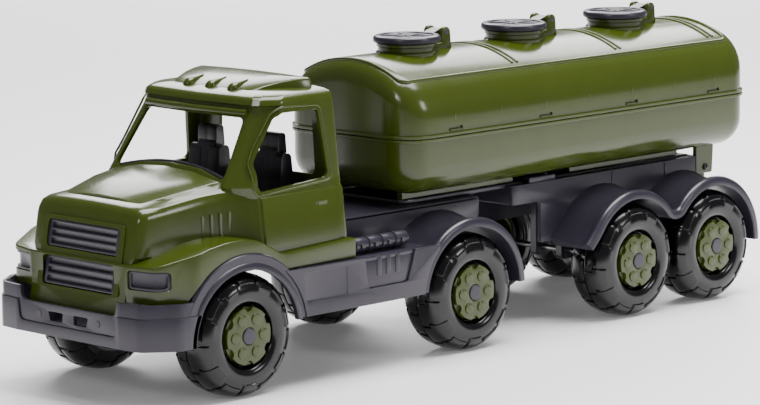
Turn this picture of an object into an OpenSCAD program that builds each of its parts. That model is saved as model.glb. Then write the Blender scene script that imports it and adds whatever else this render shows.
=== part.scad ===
// Toy articulated tanker lorry: a bonneted cab, its chassis, and a tank trailer with three lids.
// Every distance along the lorry is measured back from the front of the bumper.

/* [Wheels] */
// Diameter over the tread
tyre_d = 78; // [70:1:80]
// Width of a tyre
tyre_w = 33; // [26:1:34]
// Outer faces of the tyres, left to right
wheel_span = 161; // [156:1:161]
// Opening in the tyre wall around the hub
rim_d = 41.2; // [39:0.2:46]
// Diameter of the hub insert
hub_d = 36.4; // [30:0.2:37]
// Diameter of the centre cap
cap_d = 10.4; // [8:0.2:12]
// Diameter of the steel axles
axle_d = 4; // [3:0.5:5]

/* [Layout] */
// Bumper to front axle
front_axle_y = 79; // [76:1:84]
// Front axle to drive axle
wheelbase = 202; // [196:1:240]
// Drive axle to first trailer axle
coupling_to_bogie = 163; // [156:1:190]
// First to second trailer axle
bogie_pitch = 83.5; // [82:0.5:96]

/* [Tractor] */
// Width over the bumper and arch lips
body_w = 163; // [162:1:170]
// Underside of the bumper above the floor
bumper_bottom = 38; // [34:1:42]
// Top of the bumper corners
bumper_top = 66.5; // [62:0.5:70]
// Top of the side skirts
skirt_top = 75.6; // [72:0.2:78]
// Underside of the side skirts
skirt_bottom = 44.6; // [40:0.2:50]
// Top of both chassis frames
frame_top = 95; // [92:0.5:98]
// Width of both chassis frames
frame_w = 90; // [80:1:91]
// Back of the cab
cab_back = 174; // [166:1:180]
// Roof height of the cab
cab_top = 186; // [178:1:192]
// Wall of the moulded shells
wall = 2.4; // [1.8:0.2:3]
// Radius of the wheel arches
arch_r = 43; // [42.6:0.2:44]

/* [Trailer] */
// Front end of the tank ahead of the drive axle
tank_lead = 41; // [36:1:44]
// Length of the tank
tank_l = 351; // [320:1:420]
// Width of the tank body
tank_w = 120; // [100:1:124]
// Height of the joint between the tank halves
tank_seam = 141; // [138:0.5:144]
// Top of the tank roof
tank_top = 191; // [186:0.5:194]
// Underside of the tank
tank_bottom = 103; // [101:0.5:110]
// Diameter of the filler lids
lid_d = 45.4; // [38:0.2:48]
// Distance between the lids
lid_pitch = 105; // [98:1:112]
// Front of the tank to the first lid
lid_inset = 60; // [50:1:64]

/* [Hidden] */
$fn = 64;
round_fn = 24;
run_fit = 0.06;   // shaft in a turning bore
seat = 0.3;       // pieces laid against each other
trim_fit = 0.3;   // inserts in their openings

tyre_r = tyre_d / 2;
track_x = wheel_span / 2;
drive_axle_y = front_axle_y + wheelbase;
bogie_y = drive_axle_y + coupling_to_bogie;
rear_axle_y = bogie_y + bogie_pitch;
tank_front = drive_axle_y - tank_lead;
tank_back = tank_front + tank_l;
rim_lip = 1.6;                       // flange that covers the joint of the tank halves
overall_l = tank_back + rim_lip;
body_x = body_w / 2;
frame_x = frame_w / 2;
deck_t = 3;
mud_x = body_x - 2;                  // outer face of the trailer mudguards

// Wheel stations: name, distance back, side
AXLES = [["front", front_axle_y], ["drive", drive_axle_y], ["bogie", bogie_y], ["rear", rear_axle_y]];
SIDES = [["left", 1], ["right", -1]];
LIDS = [["lid_1", 0], ["lid_2", 1], ["lid_3", 2]];

green = "#5f6b2c";
grey = "#5d5660";
black = "#242426";
steel = "#b9b9b4";

// The frame's origin is on the floor under the middle of the whole lorry
module placed() { translate([0, -overall_l / 2, 0]) children(); }

// A side view [distance back, height], as wide as w, from x = x0
module side_prism(w, x0 = 0) {
    translate([x0 - w / 2, 0, 0]) rotate([90, 0, 90]) linear_extrude(w) children();
}

// A front view [x, height], from y0 to y1
module front_prism(y0, y1) {
    translate([0, y1, 0]) rotate([90, 0, 0]) linear_extrude(y1 - y0) children();
}

// A plan view, from z0 to z1
module plan_prism(z0, z1) {
    translate([0, 0, z0]) linear_extrude(z1 - z0) children();
}

module rounded(r) { offset(r, $fn = round_fn) offset(-r) children(); }

module rod(r, x0, x1) { translate([x0, 0, 0]) rotate([0, 90, 0]) cylinder(r = r, h = x1 - x0); }

module both_sides() { children(); mirror([1, 0, 0]) children(); }

// ---------------------------------------------------------------- wheels

hub_back = 26;       // from the outer face to the inner end of the hub barrel
hub_face = 5.5;      // thickness of the hub disc
cap_depth = 3.2;     // the cap sits this deep in the disc
hub_set = 0.7;       // the hub disc lies this far inside the tyre face
shoulder = 5;        // rounded edge of the tread
cap_r = cap_d / 2;
axle_r = axle_d / 2;

// All three pieces are drawn about the x axis with the outer face at x = 0
module tyre_body() {
    tread = tyre_r;
    inner = hub_d / 2 + trim_fit;
    rotate([0, -90, 0]) rotate_extrude($fn = 96)
        polygon([[inner, tyre_w], [inner, hub_face + 1], [rim_d / 2, hub_face + 1], [rim_d / 2, 1.5],
            [rim_d / 2 + 1.5, 0], [tread - shoulder - 1, 0], [tread - 1.2, shoulder - 1],
            [tread, shoulder + 2], [tread, tyre_w - shoulder - 2], [tread - 1.2, tyre_w - shoulder + 1],
            [tread - shoulder - 1, tyre_w], [inner + 1, tyre_w]]);
}

module hub_body() {
    hub_r = hub_d / 2;
    notch_r = 3.4;
    nub_r = 3.6;
    nub_ring = hub_r * 0.64;
    sleeve_r = axle_r + 2.6;
    difference() {
        union() {
            rod(hub_r, -hub_face - hub_set, -hub_set);
            difference() {
                rod(hub_r, -hub_back, -hub_face);
                rod(hub_r - 2, -hub_back - 1, -hub_face - hub_set);
            }
            rod(sleeve_r, -hub_back, -hub_face);
        }
        rod(axle_r + run_fit, -hub_back - 1, 1);
        rod(cap_r + trim_fit, -hub_set - cap_depth, 1);
        for (k = [0:5]) rotate([k * 60, 0, 0])
            translate([0, 0, hub_r + 0.6]) rod(notch_r, -2.6, 1);
    }
    for (k = [0:5]) rotate([k * 60 + 30, 0, 0])
        translate([0, 0, nub_ring]) rod(nub_r, -hub_set - 1, -hub_set + 0.6);
}

module cap_body() { rod(cap_r, -hub_set - cap_depth + trim_fit, 0); }

module at_wheel(axle, side) {
    placed() translate([side * track_x, axle, tyre_r]) rotate([0, 0, side > 0 ? 0 : 180]) children();
}

module axle_rod(y) {
    end_x = track_x - hub_set - cap_depth - 0.5;
    color(steel) placed() translate([0, y, tyre_r]) rod(axle_r, -end_x, end_x);
}

// ---------------------------------------------------------------- cab

hood_x = 50;           // half width of the bonnet
wing_x = 79;           // half width over the wings
sill_x = 77.5;         // half width over the cab sill
wing_top = 97;         // top of the wings
green_bottom = 65;     // lower edge of the green shell at the wings
nose_bottom = 59;      // lower edge of the green shell between the bumper corners
nose_x = 44;           // half width of the nose below the headlights
arch_lead = 1.5;       // the arches sit this far ahead of their axles
lip_w = 10;            // radial width of the grey lip round the front arch

// Side views of the shell, front to back
module nose_side(inset = 0) {
    offset(delta = -inset) rounded(5)
        polygon([[8, nose_bottom], [16, 104], [22, 121], [30, 124], [92, 137], [92, nose_bottom]]);
}

module cabin_side(inset = 0) {
    offset(delta = -inset) rounded(6)
        polygon([[70, skirt_top + 0.5], [70, 128], [83, 133], [114, 181], [124, 184],
            [cab_back, cab_top], [cab_back, skirt_top + 0.5]]);
}

// Front view of the cabin: leaning sides and rounded roof edges
module cabin_front(inset = 0) {
    offset(delta = -inset) rounded(7)
        polygon([[-72, skirt_top], [-72, 92], [-66.5, 121], [-60.5, cab_top - 1], [0, cab_top],
            [60.5, cab_top - 1], [66.5, 121], [72, 92], [72, skirt_top]]);
}

module hood_front(inset = 0) {
    offset(delta = -inset) rounded(6)
        polygon([[-nose_x, nose_bottom - 6], [-nose_x, 92], [-hood_x, 100], [-hood_x, 122], [-30, 140],
            [30, 140], [hood_x, 122], [hood_x, 100], [nose_x, 92], [nose_x, nose_bottom - 6]]);
}

// Wings and sill, seen from above: rounded front corners
module wing_plan(inset = 0) {
    offset(delta = -inset) rounded(16)
        polygon([[-wing_x, 40], [-66, 14], [-44, 10], [44, 10], [66, 14], [wing_x, 40], [wing_x, 90],
            [sill_x, 112], [sill_x, cab_back + 20], [-sill_x, cab_back + 20], [-sill_x, 112], [-wing_x, 90]]);
}

module wing_side(inset = 0) {
    offset(delta = -inset) rounded(4)
        polygon([[6, green_bottom], [6, 86], [34, wing_top], [84, wing_top + 2], [113, 87],
            [cab_back, 88.5], [cab_back, skirt_top + seat], [113, skirt_top + seat],
            [100, green_bottom]]);
}

// Solid outline of the cab; the same outline, set in, hollows it
module cab_form(inset = 0) {
    intersection() {
        side_prism(body_w) nose_side(inset);
        front_prism(0, 92) hood_front(inset);
    }
    intersection() {
        side_prism(body_w) cabin_side(inset);
        front_prism(40, cab_back + 1) cabin_front(inset);
    }
    intersection() {
        side_prism(body_w) wing_side(inset);
        plan_prism(40, 110) wing_plan(inset);
    }
}

spoiler_front = 121;
spoiler_back = 162;
spoiler_top = 190.5;

module roof_spoiler() {
    intersection() {
        side_prism(body_w) polygon([[spoiler_front, cab_top - 6], [spoiler_front, cab_top - 3],
            [spoiler_front + 24, spoiler_top - 1], [spoiler_back, spoiler_top], [spoiler_back, cab_top - 3]]);
        plan_prism(cab_top - 6, spoiler_top + 1)
            polygon([[-36, spoiler_front], [36, spoiler_front], [52, spoiler_back - 12], [52, spoiler_back],
                [-52, spoiler_back], [-52, spoiler_back - 12]]);
    }
}

// Window outlines
module windscreen_front() {
    rounded(5) polygon([[-51, 134], [-45, 170], [45, 170], [51, 134], [0, 141]]);
}

module side_window() {
    rounded(4) polygon([[99, 124], [99, 142], [119, 171], [157, 171.5], [161, 127.5]]);
}

module rear_window() {
    rounded(5) polygon([[-45, 126], [-43, 171], [43, 171], [45, 126]]);
}

// Opening for a pod (grille or lamp) in the nose, seen from the front
grille_x = 33;
grille_upper_z = [92, 108];
grille_lower_z = [70.6, 86];
lamp_x = [46, 76];
lamp_z = [73.5, 85.5];

module window(x, z, r = 3) {
    rounded(r) translate([x[0], z[0]]) square([x[1] - x[0], z[1] - z[0]]);
}

module front_arch_cut(extra, w) {
    translate([0, front_axle_y - arch_lead - extra * 0.2, tyre_r - arch_lead])
        rotate([0, 90, 0]) cylinder(r = arch_r + extra, h = w, center = true, $fn = 96);
}

module cab_shell() {
    color(green) placed() difference() {
        union() {
            difference() {
                cab_form();
                cab_form(wall);
                // open underneath
                plan_prism(40, skirt_top + wall + 1) translate([-nose_x + wall, 12]) square([2 * (nose_x - wall), 150]);
                plan_prism(40, skirt_top + wall + 1) translate([-sill_x + wall, 112])
                    square([2 * (sill_x - wall), cab_back - 112 - wall]);
                plan_prism(40, green_bottom + wall + 1) translate([-wing_x + wall, 22])
                    square([2 * (wing_x - wall), 92]);
                // the bonnet, the wings and the cabin are one space inside
                plan_prism(80, 120) translate([-hood_x + 5, 40]) square([2 * (hood_x - 5), 50]);
                plan_prism(skirt_top + 2, 92) translate([-60, 90]) square([120, 40]);
            }
            roof_spoiler();
        }
        front_prism(60, 130) windscreen_front();
        front_prism(cab_back - 8, cab_back + 8) rear_window();
        side_prism(body_w) side_window();
        front_arch_cut(lip_w + seat, body_w);
        front_prism(0, 20) window([-grille_x, grille_x], grille_upper_z);
        front_prism(0, 18) window([-grille_x, grille_x], grille_lower_z);
        both_sides() front_prism(0, 36) window(lamp_x, lamp_z);
    }
}

// Slatted panel: a frame with bars, laid in the opening of the nose
module grille(z, y) {
    bars = 5;
    g = trim_fit;
    h = z[1] - z[0] - 2 * g;
    pitch = h / bars;
    color(grey) placed() {
        front_prism(y + 1, y + 3) window([-grille_x + g, grille_x - g], [z[0] + g, z[1] - g]);
        front_prism(y - 0.8, y + 1) difference() {
            window([-grille_x + g, grille_x - g], [z[0] + g, z[1] - g]);
            for (k = [0:bars - 1]) translate([0, z[0] + g + pitch * (k + 0.5)])
                square([2 * grille_x - 8, pitch * 0.42], center = true);
        }
    }
}

module grille_upper() { grille(grille_upper_z, 16.5); }
module grille_lower() { grille(grille_lower_z, 13); }

module headlight() {
    g = trim_fit;
    color(grey) placed() intersection() {
        front_prism(8, 34) window([lamp_x[0] + g, lamp_x[1] - g], [lamp_z[0] + g, lamp_z[1] - g], 2);
        plan_prism(70, 90) difference() {
            wing_plan(0.8);
            wing_plan(4);
        }
    }
}

module headlight_left() { headlight(); }
module headlight_right() { mirror([1, 0, 0]) headlight(); }

seat_y = 146;
seat_x = 29;

// Grey moulding inside the cab: floor, dashboard and two seats
module seat_shape() {
    side_prism(34, seat_x) rounded(3) polygon([[seat_y - 22, 96], [seat_y - 22, 108], [seat_y - 5, 111],
        [seat_y, 147], [seat_y + 7, 147], [seat_y + 10, 96]]);
    side_prism(15, seat_x) rounded(2) polygon([[seat_y + 0.5, 144], [seat_y + 1, 157], [seat_y + 7, 157], [seat_y + 7, 144]]);
}

module cab_interior() {
    color(grey) placed() {
        plan_prism(94, 97) translate([-60, 96]) square([120, 74]);
        both_sides() seat_shape();
        side_prism(100) rounded(2) polygon([[96, 94], [90, 119], [84, 124], [85, 129], [98, 127.5], [102, 94]]);
        // post that stands on the chassis deck
        plan_prism(skirt_top + seat, 95) both_sides() translate([20, 120]) square([14, 30]);
    }
}

// ---------------------------------------------------------------- tractor chassis

lip_t = 3.6;               // thickness of the arch lips, in from the side
mud_r = arch_r + 0.5;      // inside of the mudguards
mud_lip = 6.5;             // radial width of a mudguard lip
mud_t = 3;                 // mudguard sheet
bearer_t = 6;
kingpin_r = 4;

module bumper_plan(inset = 0) {
    offset(delta = -inset) rounded(12)
        polygon([[-body_x, 60], [-body_x, 26], [-60, 2], [-49, 0], [49, 0], [60, 2], [body_x, 26], [body_x, 60]]);
}

module bumper() {
    slot_x = [5, 19];
    slot_z = [47.6, 53.4];
    difference() {
        plan_prism(bumper_bottom, bumper_top) difference() {
            bumper_plan();
            offset(delta = -wall - 0.6) bumper_plan();
            translate([-body_x + wall, 45]) square([body_w - 2 * wall, 40]);
        }
        // lower middle, where the nose comes down
        front_prism(-5, 30) rounded(3) polygon([[-45, 57.8], [-48, 80], [48, 80], [45, 57.8]]);
        // shallow pocket
        front_prism(-5, 0.9) rounded(4) translate([-47, 45]) square([94, 30]);
        both_sides() front_prism(-5, 8)
            polygon([[slot_x[0], slot_z[1]], [slot_x[1], slot_z[1]], [slot_x[1] - 2, slot_z[0]], [slot_x[0] + 0.5, slot_z[0]]]);
        front_arch_cut(0, body_w + 2);
    }
}

// Grey lip round a front arch, and the skirt behind it down to the drive wheel
module front_arch_lip() {
    intersection() {
        difference() {
            front_arch_cut(lip_w, body_w);
            front_arch_cut(0, body_w + 2);
            translate([0, 0, -1]) cube([2 * (body_x - lip_t), 800, 400], center = true);
        }
        side_prism(body_w) polygon([[20, bumper_bottom], [20, 100], [130, 100], [130, skirt_bottom], [100, skirt_bottom],
            [78, 60], [50, bumper_bottom]]);
    }
}

module skirts() {
    both_sides() difference() {
        union() {
            side_prism(lip_t, body_x - lip_t / 2)
                polygon([[100, skirt_top], [drive_axle_y - 34, skirt_top], [drive_axle_y - 44, skirt_bottom],
                    [110, skirt_bottom]]);
            // notched lower panel and ladder plate
            side_prism(0.8, body_x - lip_t - 0.3)
                polygon([[cab_back, skirt_top - 1], [box_back - 4, skirt_top - 1], [box_back - 12, 52], [cab_back, 52]]);
        }
        front_arch_cut(0, body_w + 2);
        drive_arch_cut(0);
    }
}

module drive_arch_cut(extra, y = drive_axle_y) {
    translate([0, y - arch_lead, tyre_r]) rotate([0, 90, 0])
        cylinder(r = mud_r + extra, h = body_w + 2, center = true, $fn = 96);
}

module drive_mudguards() {
    both_sides() difference() {
        union() {
            translate([body_x - lip_t, drive_axle_y - arch_lead, tyre_r]) rotate([0, 90, 0])
                cylinder(r = mud_r + mud_lip, h = lip_t, $fn = 96);
            translate([frame_x - 1, drive_axle_y - arch_lead, tyre_r]) rotate([0, 90, 0])
                cylinder(r = mud_r + mud_t, h = body_x - frame_x, $fn = 96);
        }
        drive_arch_cut(0);
        // cut off level with the axle behind, and at the skirt in front
        translate([0, drive_axle_y - 100, -60]) cube([200, 200, 60 + tyre_r + 2]);
        translate([0, 0, -60]) cube([200, drive_axle_y - 30, 60 + skirt_bottom]);
    }
}

module bearer(x, y, top) {
    translate([x - bearer_t / 2, y - 7, tyre_r - axle_r - 4]) cube([bearer_t, 14, top - tyre_r + axle_r + 4]);
}

tractor_frame_back = drive_axle_y + 41;
frame_side_z = 80.6;

module tractor_chassis() {
    deck_z = skirt_top - deck_t;
    beam_x = 34;
    beam_t = 4;
    nose_y = 17;      // front face of the upright behind the lower grille
    deck_y = 124;     // front edge of the deck, behind the front wheels
    color(grey) placed() difference() {
        union() {
            bumper();
            front_arch_lip();
            skirts();
            drive_mudguards();
            // deck under the cab and between the skirts
            plan_prism(deck_z, skirt_top) translate([-body_x + 1, deck_y])
                square([body_w - 2, drive_axle_y - mud_r + 0.5 - deck_y]);
            // nose beam from the bumper back to the deck, above the front axle
            plan_prism(deck_z - 4, deck_z) translate([-beam_x, nose_y]) square([2 * beam_x, deck_y - nose_y + 2]);
            plan_prism(bumper_bottom + 4, deck_z) translate([-beam_x, nose_y]) square([2 * beam_x, beam_t]);
            both_sides() plan_prism(bumper_bottom + 4, nose_bottom - seat)
                translate([beam_x - beam_t, 2]) square([beam_t, nose_y - 1]);
            // rear frame: side walls and top deck
            both_sides() side_prism(deck_t, frame_x - deck_t / 2)
                polygon([[cab_back + 14, deck_z], [cab_back + 14, frame_top], [tractor_frame_back, frame_top],
                    [tractor_frame_back, frame_side_z], [drive_axle_y - 20, deck_z]]);
            plan_prism(frame_top - deck_t, frame_top) translate([-frame_x, cab_back + 14])
                square([frame_w, tractor_frame_back - cab_back - 14]);
            both_sides() {
                bearer(34, front_axle_y, deck_z - 2);
                bearer(34, drive_axle_y, frame_top - 1);
            }
            translate([0, drive_axle_y, frame_top - deck_t - 6]) cylinder(r = kingpin_r + 3, h = 8);
        }
        translate([0, drive_axle_y, 60]) cylinder(r = kingpin_r + run_fit, h = 60);
        for (y = [front_axle_y, drive_axle_y])
            translate([0, y, tyre_r]) rod(axle_r + run_fit, -60, 60);
    }
}

// Ribbed container lying on the deck behind the cab
box_front = cab_back + 4;
box_back = drive_axle_y - 53;
box_r = 6.4;

module toolbox() {
    segments = 4;
    pitch = (box_back - box_front) / segments;
    color(grey) placed() for (k = [0:segments - 1])
        translate([70, box_front + pitch * k, skirt_top + seat + box_r])
            rotate([-90, 0, 0]) {
                cylinder(r = box_r, h = pitch, $fn = 32);
                translate([0, 0, 1.2]) cylinder(r = box_r - 0.5, h = pitch - 1.2, $fn = 32);
            }
}

module toolbox_left() { toolbox(); }
module toolbox_right() { mirror([1, 0, 0]) toolbox(); }

// ---------------------------------------------------------------- trailer

goose_x = 38;
goose_front = drive_axle_y - 25;
plate_top = frame_top + seat + 2.9;      // top of the coupling plate and of the bed
trailer_front = drive_axle_y + 74;
deep_front = bogie_y - 61;
deep_bottom = 55.5;
goose_bottom = 84;
trailer_back = rear_axle_y + 18.5;
bracket_back = trailer_back + 20;
screw_z = 88.6;

// Double mudguard, seen from the side
module mud_outline(out) {
    difference() {
        union() {
            for (y = [bogie_y, rear_axle_y]) translate([y, tyre_r]) circle(mud_r + out, $fn = 96);
            translate([bogie_y, 66]) square([bogie_pitch, out - 1.5 + 0.1 * out]);
            polygon([[bogie_y - 58, 52], [bogie_y - 46, 76], [bogie_y - 28, 82], [bogie_y - 40, 52]]);
        }
        for (y = [bogie_y, rear_axle_y]) translate([y, tyre_r]) circle(mud_r - 1, $fn = 96);
        // straight ends, and open between the wheels
        translate([bogie_y - 100, -50]) square([100, 102]);
        translate([bogie_y, -50]) square([bogie_pitch, 115]);
        translate([rear_axle_y, -50]) square([100, 90]);
    }
}

module trailer_chassis() {
    color(grey) placed() difference() {
        union() {
            // coupling plate and tank bed
            plan_prism(frame_top + seat, plate_top) difference() {
                rounded(12) translate([-goose_x, goose_front]) square([2 * goose_x, trailer_back - goose_front + 12]);
                translate([-60, trailer_back]) square([120, 40]);
            }
            plan_prism(frame_top - deck_t, plate_top - 1) translate([-frame_x + 1, trailer_front + 1])
                square([frame_w - 2, trailer_back - trailer_front - 2]);
            both_sides() {
                side_prism(deck_t, frame_x - deck_t / 2)
                    polygon([[trailer_front, goose_bottom], [trailer_front, frame_top], [trailer_back, frame_top],
                        [trailer_back, deep_bottom], [deep_front, deep_bottom], [deep_front, goose_bottom]]);
                side_prism(mud_x - frame_x + 1, (mud_x + frame_x - 1) / 2) mud_outline(mud_t);
                side_prism(lip_t, mud_x - lip_t / 2) mud_outline(mud_lip);
                for (y = [bogie_y, rear_axle_y]) bearer(12, y, frame_top - 1);
            }
            plan_prism(deep_bottom, frame_top) translate([-frame_x + 1, trailer_back - deck_t])
                square([frame_w - 2, deck_t]);
            // tail block behind the frame, between the tank brackets
            plan_prism(deep_bottom + 20, frame_top) translate([-frame_x + 4, trailer_back - 1])
                square([frame_w - 8, bracket_back - trailer_back - 4]);
            // kingpin
            translate([0, drive_axle_y, frame_top - deck_t - 5]) cylinder(r = kingpin_r, h = 10);
        }
        for (y = [bogie_y, rear_axle_y])
            translate([0, y, tyre_r]) rod(axle_r + run_fit, -60, 60);
        both_sides() translate([0, (trailer_back + bracket_back) / 2, screw_z]) rod(1.2, frame_x - 9, frame_x + 4);
    }
}

// ---------------------------------------------------------------- tank

crown_r = 92;
corner_r = 22;
tank_wall = 2.2;
crown_x = 47;
crown_steps = 12;

function crown_z(x) = tank_top - crown_r + sqrt(crown_r * crown_r - x * x);

// Front view of the tank: crowned roof, sloping shoulders, upright sides, rounded belly
module tank_section(inset = 0) {
    half = tank_w / 2;
    arc = [for (k = [-crown_steps:crown_steps])
        let (x = crown_x * k / crown_steps) [x, crown_z(x)]];
    offset(delta = -inset) rounded(5)
        polygon(concat(arc, [[half - 1, 163.5], [half, 143], [half, 124], [half - 5, 112], [half - 16, tank_bottom],
            [-half + 16, tank_bottom], [-half + 5, 112], [-half, 124], [-half, 143], [-half + 1, 163.5]]));
}

module tank_side(inset = 0) {
    offset(delta = -inset) rounded(8)
        polygon([[tank_front, tank_bottom], [tank_front, tank_top], [tank_back, tank_top], [tank_back, tank_bottom]]);
}

module tank_plan(grow = 0) {
    offset(delta = grow) rounded(corner_r) translate([-tank_w / 2, tank_front]) square([tank_w, tank_l]);
}

module tank_form(inset = 0) {
    intersection() {
        front_prism(tank_front - 5, tank_back + 5) tank_section(inset);
        side_prism(tank_w + 10) tank_side(inset);
        plan_prism(tank_bottom - 5, tank_top + 5) tank_plan(-inset);
    }
}

seam_h = 2.5;
neck_r = 19.5;
neck_wall = 2.5;
lid_t = 4.6;
lid_z = tank_top + 6;          // underside of the lids
pin_r = 1.5;
pin_z = lid_z + 4.2;
pin_back = 29;                 // lid centre to its hinge pin
ear_r = 4;
ear_x = [5.2, 8.8];
lid_y0 = tank_front + lid_inset;
slot_l = 13;                   // clip slots above the flange
slot_inset = 38;
slot_pitch = (tank_l - 2 * slot_inset - slot_l) / 3;

module tank_upper() {
    color(green) placed() difference() {
        union() {
            difference() {
                union() {
                    intersection() {
                        tank_form();
                        plan_prism(tank_seam, tank_top + 5) tank_plan(5);
                    }
                    plan_prism(tank_seam, tank_seam + seam_h) tank_plan(rim_lip);
                }
                tank_form(tank_wall);
            }
            for (lid = LIDS) translate([0, lid_y0 + lid_pitch * lid[1], 0]) {
                translate([0, 0, tank_top - 8]) cylinder(r = neck_r, h = lid_z - seat - tank_top + 8);
                both_sides() side_prism(ear_x[1] - ear_x[0], (ear_x[0] + ear_x[1]) / 2)
                    polygon([[neck_r - 3, tank_top - 5], [neck_r - 3, lid_z - 1], [pin_back - ear_r, lid_z - 1],
                        [pin_back - ear_r, pin_z], [pin_back + ear_r, pin_z], [pin_back + ear_r + 1, tank_top - 5]]);
                both_sides() translate([0, pin_back, pin_z]) rod(ear_r, ear_x[0], ear_x[1]);
            }
        }
        for (lid = LIDS) translate([0, lid_y0 + lid_pitch * lid[1], 0]) {
            translate([0, 0, tank_top - 14]) cylinder(r = neck_r - neck_wall, h = 30);
            translate([0, pin_back, pin_z]) rod(pin_r + seat / 3, -20, 20);
        }
        // clip slots along the sides
        for (k = [0:3]) both_sides()
            translate([tank_w / 2 - 1.4, tank_front + slot_inset + k * slot_pitch, tank_seam + seam_h + 1])
                cube([4, slot_l, 2.4]);
    }
}

rail_x = [31, 36];
rails = [[tank_front + 18, tank_front + 125], [tank_front + 182, tank_front + 296]];

module tank_lower() {
    gap = seat / 2;
    color(green) placed() difference() {
        union() {
            intersection() {
                tank_form();
                plan_prism(tank_bottom - 5, tank_seam - gap) tank_plan(5);
            }
            plan_prism(tank_seam - seam_h, tank_seam - gap) tank_plan(rim_lip);
            // rails that lie on the trailer bed
            both_sides() for (r = rails)
                translate([rail_x[0], r[0], plate_top + seat]) cube([rail_x[1] - rail_x[0], r[1] - r[0], tank_bottom - plate_top + 1]);
            // brackets screwed to the back of the frame
            both_sides() side_prism(3.4, frame_x - 1.7)
                polygon([[trailer_back + seat, goose_bottom], [trailer_back + seat, tank_bottom + 12],
                    [bracket_back, tank_bottom + 12], [bracket_back - 2, goose_bottom]]);
        }
        tank_form(tank_wall);
        both_sides() translate([0, (trailer_back + bracket_back) / 2, screw_z]) rod(1.6, frame_x - 9, frame_x + 4);
    }
}

module bracket_screws() {
    color(steel) placed() both_sides() translate([0, (trailer_back + bracket_back) / 2, screw_z]) {
        rod(1.1, frame_x - 8, frame_x + 0.2);
        rod(2.4, frame_x + 0.1, frame_x + 1.4);
    }
}

module lid(k) {
    spigot_r = neck_r - neck_wall - 0.5;
    tongue_x = ear_x[0] - seat;
    color(grey) placed() translate([0, lid_y0 + lid_pitch * k, 0]) difference() {
        union() {
            translate([0, 0, lid_z]) cylinder(r = lid_d / 2, h = lid_t);
            translate([0, 0, lid_z - 2]) cylinder(r = spigot_r, h = 3);
            side_prism(2 * tongue_x) polygon([[lid_d / 2 - 3, lid_z], [lid_d / 2 - 3, lid_z + lid_t],
                [pin_back, lid_z + lid_t + 1], [pin_back, lid_z + 1]]);
            translate([0, pin_back, pin_z]) rod(pin_r + 1.7, -tongue_x, tongue_x);
        }
        translate([0, pin_back, pin_z]) rod(pin_r + run_fit, -10, 10);
    }
}

module lid_1() { lid(0); }
module lid_2() { lid(1); }
module lid_3() { lid(2); }

module hinge_pins() {
    color(grey) placed() for (k = [0:2])
        translate([0, lid_y0 + lid_pitch * k + pin_back, pin_z]) rod(pin_r, -ear_x[1], ear_x[1]);
}

// ---------------------------------------------------------------- what is drawn

cab_shell();
grille_upper();
grille_lower();
headlight_left();
headlight_right();
cab_interior();
tractor_chassis();
toolbox_left();
toolbox_right();
axle_rod(front_axle_y);  // front_axle
axle_rod(drive_axle_y);  // drive_axle
trailer_chassis();
axle_rod(bogie_y);  // bogie_axle
axle_rod(rear_axle_y);  // rear_axle
tank_lower();
tank_upper();
bracket_screws();
lid_1();
lid_2();
lid_3();
hinge_pins();
for (a = AXLES) for (s = SIDES) {
    color(black) at_wheel(a[1], s[1]) tyre_body();
    color(green) at_wheel(a[1], s[1]) hub_body();
    color(grey) at_wheel(a[1], s[1]) cap_body();
}
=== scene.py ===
"""Toy articulated tanker lorry: moulded plastic shells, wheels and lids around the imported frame."""
import math

import bpy
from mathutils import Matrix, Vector


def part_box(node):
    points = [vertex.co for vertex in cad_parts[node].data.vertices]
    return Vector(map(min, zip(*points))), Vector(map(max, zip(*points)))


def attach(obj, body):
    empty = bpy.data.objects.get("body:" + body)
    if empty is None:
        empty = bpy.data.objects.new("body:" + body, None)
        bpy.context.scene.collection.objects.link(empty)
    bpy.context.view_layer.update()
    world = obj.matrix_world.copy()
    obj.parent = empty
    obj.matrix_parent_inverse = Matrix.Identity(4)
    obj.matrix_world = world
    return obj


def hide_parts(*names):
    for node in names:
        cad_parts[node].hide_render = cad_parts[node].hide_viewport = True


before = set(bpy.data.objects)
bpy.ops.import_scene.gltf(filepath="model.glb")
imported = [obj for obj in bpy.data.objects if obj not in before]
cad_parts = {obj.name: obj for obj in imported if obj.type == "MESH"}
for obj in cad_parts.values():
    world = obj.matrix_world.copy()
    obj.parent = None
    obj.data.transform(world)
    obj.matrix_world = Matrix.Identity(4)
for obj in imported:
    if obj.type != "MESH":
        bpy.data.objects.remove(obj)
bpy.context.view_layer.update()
MM = 0.001

# ---------------------------------------------------------------- camera, light and floor
# A long lens from the left front corner, a little above the roof of the cab, as a catalogue picture is taken.

CAMERA_AT = (1.6763, -1.6921, 0.4627)
CAMERA_TARGET = (-0.00614, -0.01631, 0.0887)
LENS_MM = 170.0
SENSOR_MM = 36.0
CAMERA_ROLL = math.radians(-0.56)
IMAGE_W = 760

camera_data = bpy.data.cameras.new("camera")
camera_data.lens = LENS_MM
camera_data.sensor_width = SENSOR_MM
camera_data.clip_end = 20
camera_data.shift_x = -0.59 / IMAGE_W
camera_data.shift_y = 1.68 / IMAGE_W
camera = bpy.data.objects.new("camera", camera_data)
bpy.context.scene.collection.objects.link(camera)
aim = Vector(CAMERA_TARGET) - Vector(CAMERA_AT)
camera.location = CAMERA_AT
camera.rotation_euler = aim.to_track_quat("-Z", "Y").to_euler()
camera.rotation_euler.rotate_axis("Z", CAMERA_ROLL)
bpy.context.scene.camera = camera


def srgb(code):
    """A #rrggbb colour as the linear values that shaders take."""
    parts = [int(code[i:i + 2], 16) / 255 for i in (1, 3, 5)]
    linear = [c / 12.92 if c <= 0.04045 else ((c + 0.055) / 1.055) ** 2.4 for c in parts]
    return (*linear, 1.0)


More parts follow.
